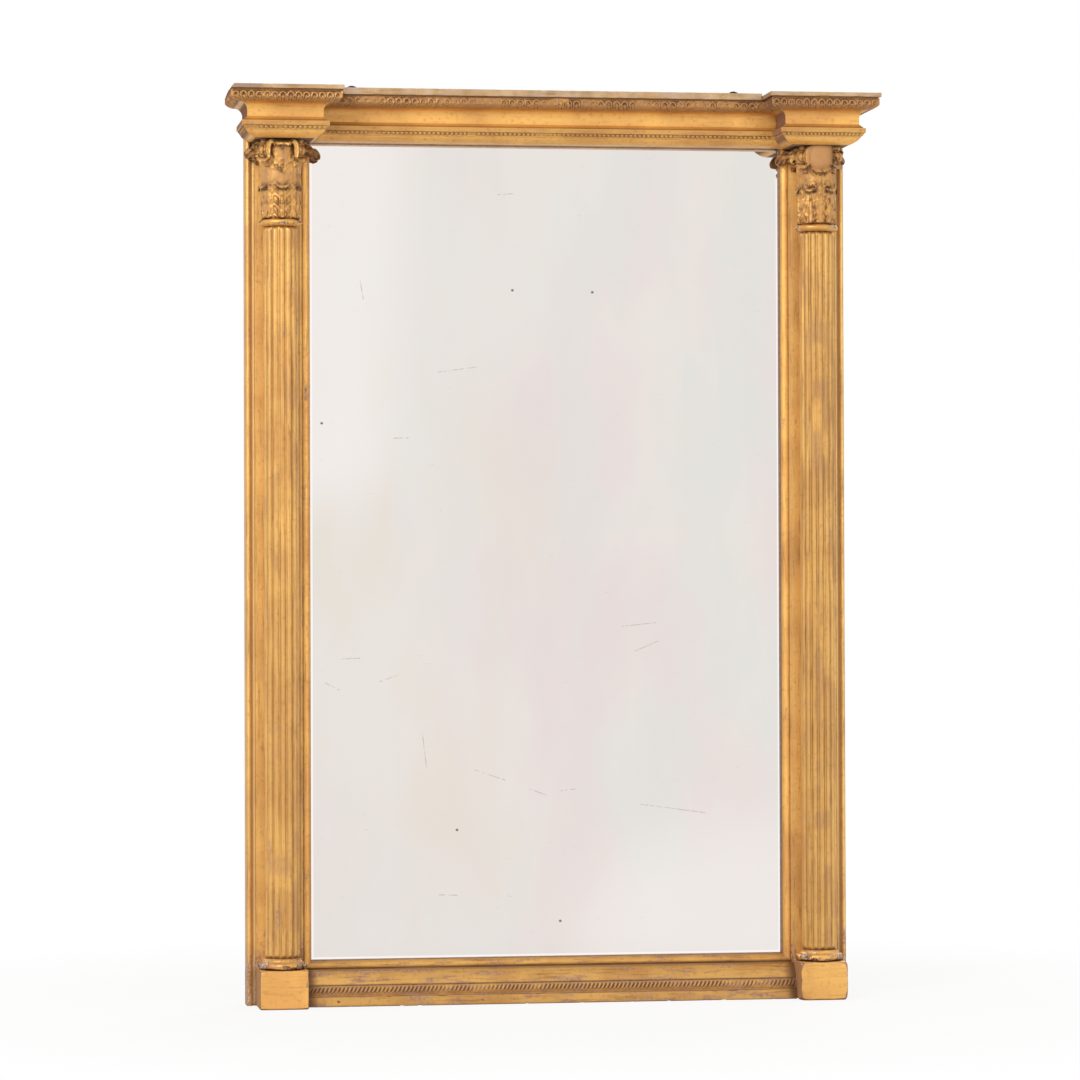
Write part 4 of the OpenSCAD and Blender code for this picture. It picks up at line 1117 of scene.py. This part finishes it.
ABACUS_H = 6.0
ABACUS_R = 42.0
BELL_LIP_R = 30.5
BELL_TOP = SOFFIT_Z - ABACUS_H
BELL_FOOT = RING_HI.z
BACK_D = STILE_FACE - COLUMN_D + 0.1
LEAF_CURL_AT = 0.72         # share of a leaf's length at which its tip starts to roll
LEAF_CURL_TURN = math.radians(200)
CARVING_VOXEL = 0.8
FROND_ROOT = 15.0
FROND_BEND = 1.25           # how far along a sine's first half a frond's reach goes
SIGHT_GAP = COLUMN_X - SIGHT_X
PATCH_HALF = 19.0
UNDER_PATCH_H = 81.0        # height of the leaf whose top the patch has taken
CORNER_LEAF_H = 88
LOBE_PITCH = 17             # length of one lobe of a middle leaf
# Each kind of leaf's half width, lean, radius of its curled tip and number of lobes.
LOW_LEAF = (14.8, 1.2, 3.2, 2.7)
CORNER_LEAF = (12.5, 3.0, 4.4, 5.2)
MIDDLE_LEAF = (15.5, 5.5, 3.4)
# Each capital's side, radius at its foot, turn of its first low leaf, height of its low leaves and how far
# its leaf over the glass reaches.
CAPITALS = {"left": (-1, 24.5, 0, 48, 56.5), "right": (1, 23.5, 30, 52, 50.0)}


def carved_leaf(s, t, half, lobes, calm=0.0):
    """Half the leaf's width and the height of its carving, at s along it and t across it: a round stem
    between grooves, lobes that fan out from it with fingers cut in them, and a drilled eye where two lobes
    part. Below calm the carving is faint."""
    envelope = np.interp(s, [0, 0.3, 0.6, 0.8, 0.92, 1], [0.90, 1.0, 0.97, 0.90, 0.72, 0.35])
    side = np.abs(t)
    m = side * half * envelope
    stem_half = np.interp(s, [0, 0.18, 0.5, 0.75, 1], [3.2, 4.6, 2.6, 2.6, 2.2])
    q = np.clip((m - stem_half) / np.maximum(half * envelope - stem_half, 1), 0, 1)
    c = (s / LEAF_CURL_AT * lobes - 0.45 * q ** 1.2 + 0.15) % 1.0
    part = np.minimum(c, 1 - c)
    width = half * envelope * (1 - 0.20 * (1 - smoothstep(part, 0.0, 0.22)))
    groove = -1.6 * hump(m - stem_half - 0.8, 0.9)
    lobe = 3.0 * (1 - (2 * c - 1) ** 2) * smoothstep(q, 0.0, 0.3) - 1.2
    valley = -2.2 * hump(part, 0.11) * smoothstep(q, 0.1, 0.3)
    finger = (3 * c) % 1.0
    fingers = -0.12 * hump(np.minimum(finger, 1 - finger), 0.16) * smoothstep(q, 0.35, 0.6)
    eye = -1.7 * np.exp(-(((q - 0.32) * (half - 4) / 2.2) ** 2 + (part / 0.18) ** 2))
    tuck = -2.4 * hump(s - LEAF_CURL_AT + 0.10, 0.06)
    carving = 1.8 * dome(m / stem_half) + groove
    carving = carving + np.where(m > stem_half, lobe + valley + fingers, 0) + eye + tuck
    if calm:
        carving = carving * (0.2 + 0.8 * smoothstep(s, calm, calm + 0.12))
    return width, carving - 1.2 * smoothstep(side, 0.9, 1.0)


def acanthus(foot_r, height, half, lean, curl, lobes, turn, thick=2.2, calm=0.0, arch=0.0):
    """A carved leaf that climbs the bell and rolls its tip over to the front. arch is how much lower its
    tip is at the sides than in the middle."""
    s, t = np.meshgrid(np.linspace(0, 1, 72), np.linspace(-1, 1, 49), indexing="ij")
    width, carving = carved_leaf(s, t, half, lobes, calm)
    carving = carving * np.interp(s, [LEAF_CURL_AT - 0.02, LEAF_CURL_AT + 0.06], [1, 0.3])
    way = np.clip(s + 0.05 * np.abs(t) ** 1.5 * (1 - s) - arch * t * t * s * s, 0, 1)
    rise = height - curl - thick
    u = np.clip(way / LEAF_CURL_AT, 0, 1)
    start = math.atan2(2.5 * lean, rise)
    roll = np.clip((way - LEAF_CURL_AT) / (1 - LEAF_CURL_AT), 0, 1) * LEAF_CURL_TURN
    out = foot_r + thick + lean * u ** 2.5 + curl * (math.cos(start) - np.cos(start + roll))
    z = BELL_FOOT + rise * u + curl * (np.sin(start + roll) - math.sin(start))
    tilt = np.where(roll > 0, start + roll, np.arctan2(2.5 * lean * u ** 1.5, rise))
    full = 2.6 * (1 - t * t)
    angle = math.radians(turn) + t * width / (foot_r + thick + 2)

    def skin(lift):
        return around(out + lift * np.cos(tilt), angle, z - lift * np.sin(tilt))
    return sheet(skin(full - 1.2 + carving), skin(full - thick - 1.2 - 0.5 * carving * (roll > 0)))


def band(path, thick, wide, place):
    """A channelled strap along a path in a plane, thick across it and wide out of the plane."""
    ahead = np.gradient(path, axis=0)
    ahead /= np.linalg.norm(ahead, axis=1)[:, None]
    across = np.stack([ahead[:, 1], -ahead[:, 0]], 1)
    rings = []
    for (x, z), (ax, az), h, w in zip(path, across, thick, wide):
        ring = ((h, w - 0.8), (h - 0.8, w), (0, w - 0.9), (0.8 - h, w), (-h, w - 0.8),
                (-h, 0.8 - w), (0.8 - h, -w), (0, 0.9 - w), (h - 0.8, -w), (h, 0.8 - w))
        rings.append([place(x + ax * a, b, z + az * a) for a, b in ring])
    return tube(rings)


def volute(foot, eye, radius, turns, start, sense, bow, thick, width, place):
    """A strap that bows up from its foot and then winds in on its eye."""
    stem_n, steps = 14, int(turns * 24)
    share = np.arange(steps + 1) / steps
    angle = math.radians(start) + sense * 2 * math.pi * turns * share
    r = radius * (1 - 0.80 * share ** 0.9)
    wind = np.stack([eye[0] + r * np.cos(angle), eye[1] + r * np.sin(angle)], 1)
    path = np.concatenate([np.array(arc(foot, wind[0], bow, stem_n))[:-1], wind])
    k = np.arange(len(path))
    return band(path, thick / 2 * np.interp(k, [0, stem_n, k[-1]], [0.8, 1.0, 0.7]),
                width / 2 * np.interp(k, [0, stem_n, k[-1]], [0.8, 1.0, 0.9]), place)


def bell(foot_r):
    flare = arc((foot_r, BELL_FOOT + 2), (BELL_LIP_R, BELL_TOP), -1, 8)
    section = [(1, BELL_FOOT), (foot_r, BELL_FOOT)] + flare + [(1, BELL_TOP)]
    a = np.arange(64) / 64 * 2 * math.pi
    return tube([[(r * math.sin(t), r * math.cos(t), z) for t in a] for r, z in section])


def prism(outline, z0, z1):
    return tube([[(x, d, z) for x, d in outline] for z in (z0, z1)])


def abacus():
    """A slab with hollow sides and cut corners, over a thinner lip."""
    shells = []
    for inset, z0, z1 in ((2.2, BELL_TOP - 0.5, BELL_TOP + 2.6), (0, BELL_TOP + 2.2, SOFFIT_Z)):
        corner = (ABACUS_R - inset) / math.sqrt(2)
        side = arc((-corner + 3, -corner - 1.5), (corner - 3, -corner - 1.5), -7, 12)
        outline = [(x * math.cos(k) - y * math.sin(k), x * math.sin(k) + y * math.cos(k))
                   for k in (0, math.pi / 2, math.pi, 3 * math.pi / 2) for x, y in side]
        shells.append(prism(outline, z0, z1))
    return shells


def frond(reach, half, top, droop):
    """A side leaf that springs from the bell, lies back on the stile and droops at its blunt tip."""
    along = np.linspace(0, 1, 64)
    s, t = np.meshgrid(along, np.linspace(-1, 1, 41), indexing="ij")
    x = FROND_ROOT + (reach - FROND_ROOT) * np.sin(FROND_BEND * along) / math.sin(FROND_BEND)
    z = top - half + 1.5 * np.sin(math.pi * along) - droop * along ** 3
    ahead = np.stack([np.gradient(x), np.gradient(z)], 1)
    ahead /= np.linalg.norm(ahead, axis=1)[:, None]
    width, carving = carved_leaf(0.15 + 0.5 * s, t, half, 3.5)
    width = width * np.interp(s, [0, 0.6, 0.9, 1], [1.0, 1.0, 0.8, 0.45])
    px = x[:, None] - ahead[:, 1:] * t * width
    pz = z[:, None] + ahead[:, :1] * t * width
    lie = np.interp(s, [0, 0.35, 0.8, 1], [16, 8, 6.5, 8])
    front = BACK_D + lie + 3 * (1 - t * t) + 0.8 * carving
    back = BACK_D + np.where(px > SIGHT_GAP, np.interp(s, [0.5, 1], [0, 1.5]), 0)
    return sheet(np.stack([px, front, pz], -1)[:, ::-1], np.stack([px, back, pz], -1)[:, ::-1])


def smooth_patch():
    """The filled-in place over the middle of the right capital, domed and without carving."""
    v, t = np.meshgrid(np.linspace(-1, 1, 49), np.linspace(-1, 1, 49), indexing="ij")
    edge = np.abs(t) ** 4 + np.abs(np.minimum(v, 0)) ** 2.4
    z = SOFFIT_Z - 17 + 19 * v
    front = 24 + 11 * np.sqrt(np.clip(1 - edge, 0, 1)) + 2 * (1 - t * t)
    return sheet(np.stack([PATCH_HALF * t - 0.5, front, z], -1),
                 np.stack([PATCH_HALF * 0.9 * t, np.full_like(t, 12.0), z], -1))


def ridge(a, b, r):
    """A short rounded ridge from a to b."""
    a, b = np.array(a, float), np.array(b, float)
    along = (b - a) / np.linalg.norm(b - a)
    side = np.cross(along, (0, 1, 0))
    out = np.cross(side, along)
    rings = []
    for k in np.linspace(-1, 1, 13)[1:-1]:
        size = r * (1 - abs(k) ** 3) ** 0.5
        middle = (a + b) / 2 + (b - a) / 2 * k
        rings.append([middle + size * (side * math.cos(n) + out * math.sin(n))
                      for n in np.linspace(0, 2 * math.pi, 13)[:-1]])
    return tube(rings)


def web(foot_r):
    return prism([(-foot_r, BACK_D), (foot_r, BACK_D), (foot_r, 0), (-foot_r, 0)], BELL_TOP - 20, BELL_TOP)


def corner_scroll(turn):
    a = math.radians(turn)

    def place(out, aside, z):
        return out * math.sin(a) + aside * math.cos(a), out * math.cos(a) - aside * math.sin(a), z
    foot, eye = (BELL_LIP_R - 1, SOFFIT_Z - 40), (36.0, SOFFIT_Z - 17)
    return volute(foot, eye, radius=7.6, turns=1.5, start=150, sense=-1, bow=-1.5, thick=3.6, width=9.0,
                  place=place)


def inner_scroll(side):
    def place(x, aside, z):
        return side * x, BELL_LIP_R + 1.5 + aside, z
    foot, eye = (19.5, SOFFIT_Z - 27), (13.5, SOFFIT_Z - 8)
    return volute(foot, eye, radius=5.8, turns=0.62, start=0, sense=1, bow=1.0, thick=8.4, width=6.0,
                  place=place)


def capital_shells(foot_r, first_leaf, low_h, reach, patched):
    """The solids of one capital, shaped as for the right side of the mirror."""
    calm, middle_calm = (0.35, 0.30) if patched else (0.56, 0.44)
    tall_h = SOFFIT_Z - BELL_FOOT - 2
    shells = [bell(foot_r), web(foot_r)] + abacus()
    for k in range(6):
        turn = (first_leaf + 60 * k + 180) % 360 - 180
        if abs(turn) < 160:
            shells.append(acanthus(foot_r, low_h, *LOW_LEAF, turn, arch=0.05))
    for turn in (-135, -45, 45, 135):
        shells.append(acanthus(foot_r - 1.0, CORNER_LEAF_H, *CORNER_LEAF, turn, calm=calm))
        shells.append(corner_scroll(turn))
    for turn in (-90, 0, 90):
        height = UNDER_PATCH_H if patched and turn == 0 else tall_h
        leaf = (*MIDDLE_LEAF, height / LOBE_PITCH)
        shells.append(acanthus(foot_r - 1.5, height, *leaf, turn, calm=middle_calm))
    shells += [inner_scroll(side) for side in ((-1,) if patched else (-1, 1))]
    if patched:
        shells.append(smooth_patch())
    else:
        shells.append(ridge((13, 31, BELL_FOOT + 76), (-1, 34, BELL_FOOT + 65), 2.4))
    outer = frond(STILE_OUT - COLUMN_X - 4.5, 12.5, SOFFIT_Z - 3, 8)
    inner_points, inner_faces = frond(reach, 9.0, SOFFIT_Z - 2, 13)
    return shells + [outer, (inner_points * (-1, 1, 1), inner_faces)]


LOW_LEAVES_TOP = SOFFIT_Z - 38
PATCH_FOOT = SOFFIT_Z - 35
# Heights where each of these starts, is full, lessens and ends.
CRUMBS_AT = (1154, 1168, 1186, 1194)    # the crumbled middle of the right capital
BAND_AT = (1158, 1162, 1180, 1190)      # the plain band over the low leaves
SHAFT_ROOM = 5              # how far the low leaves spread past the bell's foot before they are pressed in
PRESSED = 0.3               # the share of their spread beyond that which is left


def weather(points, normals, foot_r, side):
    """A capital's skin with lumps and crumbs, fitted into its room, and which of it is the patch."""
    x, d, z = points.T
    patch = (side > 0) & (np.abs(x + 0.5) < PATCH_HALF + 1) & (z > PATCH_FOOT) & (d > 22)
    rough = 0.35 * lumps(points, 5, 50 + side) + 0.2 * lumps(points, 2.2, 52 + side)
    if side > 0:
        rough = rough + 0.6 * window(z, *CRUMBS_AT) * lumps(points, 6.5, 55)
        rough = np.where(patch, 0.15 * lumps(points, 8, 56), rough)
    low = z < LOW_LEAVES_TOP
    x, d, z = (points + normals * rough[:, None]).T
    wide = np.abs(x) - (foot_r + SHAFT_ROOM)
    x = np.where(low & (wide > 0), np.sign(x) * (foot_r + SHAFT_ROOM + PRESSED * wide), x)
    return np.stack([x, np.maximum(d, BACK_D), np.clip(z, BELL_FOOT, SOFFIT_Z)], 1), patch


def capital_wear_and_light(points, foot_r, low_h, side, patch):
    """The marks on a capital: a painted highlight on the rolled tips of its low leaves, chips on its outer
    parts, painted shade at its back against the stile and under the abacus, and darker outer leaves and
    plain band. Also the share of its leaf that is gone.
    """
    x, d, z = points.T
    tip_z = BELL_FOOT + low_h
    out = smoothstep(np.abs(x), 30, 40)
    band_share = window(z, *BAND_AT)
    at_tips = window(z, tip_z - 8, tip_z - 5, tip_z, tip_z + 3)
    # painted highlight on the outer part of the low leaves' rolled tips
    rubbed = at_tips * smoothstep(np.hypot(x, d), foot_r + 5, foot_r + 7)
    chipped = 0.6 * out * smoothstep(lumps(points, 12, 60 + side), -0.2, 0.5)
    # painted shade at the back against the stile and under the abacus; the outer leaves and band are darker
    dirt_and_shade = np.maximum.reduce([0.9 * smoothstep(d, BACK_D + 3, BACK_D + 0.5), 0.34 * out, 0.2 * band_share,
                              0.2 * smoothstep(z, BELL_TOP - 1, BELL_TOP + 2) * (d < 33)])
    band_bare = (0.3 if side > 0 else 0.75) * band_share * (0.75 + 0.25 * lumps(points, 9, 64))
    bare = np.maximum.reduce([band_bare, 0.6 * out, 0.85 * patch,
                              0.7 * smoothstep(lumps(points, 14, 66 + side), 0.2, 0.6)])
    return np.stack([rubbed, chipped, dirt_and_shade], 1), bare


def make_capital(name, side, foot_r, first_leaf, low_h, reach, finish):
    shells = capital_shells(foot_r, first_leaf, low_h, reach, side > 0)
    points, faces, normals = fuse(shells, CARVING_VOXEL, 2)
    points, patch = weather(points, normals, foot_r, side)
    if side < 0:
        points[:, 0] *= -1
        faces = faces[:, ::-1]
    wear, bare = capital_wear_and_light(points, foot_r, low_h, side, patch)
    make_piece("carved_capital_" + name, points + (side * COLUMN_X, COLUMN_D, 0), faces,
               finish["capital_gilt"], "capital_" + name, wear, carved=24, sharp=60, bare=bare)


# ---- making the scene ----

# Painted shade lines: at the cove's foot and under the leaf strip, a wide faint one that darkens the cove
# towards its foot, and along the ogee's bottom and top.
COVE_SHADE = ((COVE_FOOT, 4.2, 0.55), (COVE_FOOT, 9.5, 0.14), (LEAF_LO.z, 2.6, 0.3))
OGEE_SHADE = ((OGEE_LO.z, 2.2, 0.5), (OGEE_HI.z, 2.0, 0.4))
STILE = dict(run="z", rub=0.5, gesso=0.15, streaks=0.55, foot=1.3, sides=0.4, stile=True)
ACROSS = dict(run="x", rub=0.8, gesso=0.3, streaks=0.7, sight_wall=True)
PLINTH = dict(run="x", rub=0.15, gesso=0.25, streaks=0.3, sides=0.8)
SHAFT = dict(run="z", rub=0.6, gesso=0.15, streaks=0.6, reach=0.0035)
STRIP = dict(rub=0.6, gesso=-0.1, streaks=0.4, reach=0.003, sides=0.9, glint=0.25, warm=0.32)
# The gilding of each slot, and of the pieces that differ from the rest of their slot.
GILDINGS = {
    # The stiles' tones are lifted and yellowed as painted light, against the orange light thrown on them by
    # the column and slip, and the right one more, against the column's shadow.
    "stile_gilt": dict(STILE, tone=(1.10, 1.20, 1.35)),
    "stile_right_gilt": dict(STILE, tone=(1.16, 1.30, 1.50)),
    "slip_gilt": dict(run="z", tone=1.16, rub=0.55, streaks=0.55, sight_wall=True),
    "slip_bottom_gilt": dict(ACROSS, tone=0.88),
    "slip_top_gilt": dict(ACROSS, tone=0.95),
    "column_gilt": dict(tone=0.98, rub=0.35, streaks=0.45),
    "base_gilt": dict(tone=0.95, rub=0.9, gesso=0.35, dirt_and_shade=1.0, glint=0.4),
    # The plinths' tones differ as painted light: the right one is darker, against the fill lamp that lights
    # it more.
    "plinth_left_gilt": dict(PLINTH, tone=1.18),
    "plinth_right_gilt": dict(PLINTH, tone=0.96),
    "shaft_left_gilt": dict(SHAFT, tone=0.87, dirt_and_shade=0.45),
    "shaft_right_gilt": dict(SHAFT, tone=0.80, dirt_and_shade=0.62),
    "capital_gilt": dict(tone=0.88, rub=0.5, gesso=0.05, dirt_and_shade=0.80, reach=0.008, warm=0.14),
    "moulding_gilt": dict(run="x", tone=1.02, rub=0.05, gesso=-0.1, streaks=0.25, sides=1.0,
                          shade_lines_at=COVE_SHADE),
    "ornament_gilt": dict(STRIP, tone=0.80),
    "leaf_left_gilt": dict(STRIP, tone=0.80),
    "leaf_centre_gilt": dict(STRIP, tone=0.66),
    "leaf_right_gilt": dict(STRIP, tone=0.66),
    "bead_gilt": dict(run="x", tone=0.80, rub=0.5, gesso=0.0, dirt_and_shade=0.5, streaks=0.4, reach=0.002,
                      sides=0.9, glint=0.15, warm=0.16),
    "patch_gesso": dict(tone=0.8, rub=1.0, gesso=0.3),
    "cap_gilt": dict(run="x", tone=0.60, rub=0.7, gesso=0.25, dust=0.45, streaks=0.8, sides=0.6,
                     ridge=CAP_RED, glint=0.75),
    "foot_gilt": dict(run="x", tone=0.78, rub=0.9, gesso=0.5, streaks=0.6, glint=0.15,
                      shade_lines_at=OGEE_SHADE, ends=0.85, warm=0.05),
}


def make_finishes():
    finish = {name: gilding(name, **settings) for name, settings in GILDINGS.items()}
    finish["pine"] = old_wood("pine", 1.0, "x")
    finish["backboard_pine"] = old_wood("backboard_pine", 0.85, "z")
    finish["mirror_glass"] = old_mirror("mirror_glass")
    for name in ("silvering", "iron"):
        finish[name] = dark_iron(name)
    return finish


def dress_frame(finish):
    """Gives every CAD node that stays the gilding made for it, or else the finish of its slot."""
    for name, slot in SLOTS.items():
        materials = frame["nodes"][name].data.materials
        materials.clear()
        materials.append(finish.get(name + "_gilt", finish[slot]))


bpy.context.scene.view_settings.view_transform = "Standard"
make_camera()
make_world()
make_lamps()
make_floor()
finishes = make_finishes()
dress_frame(finishes)
for make in (make_ornament, make_foot, make_caps, make_plinths, make_columns):
    make(finishes)
for capital, sizes in CAPITALS.items():
    make_capital(capital, *sizes, finishes)
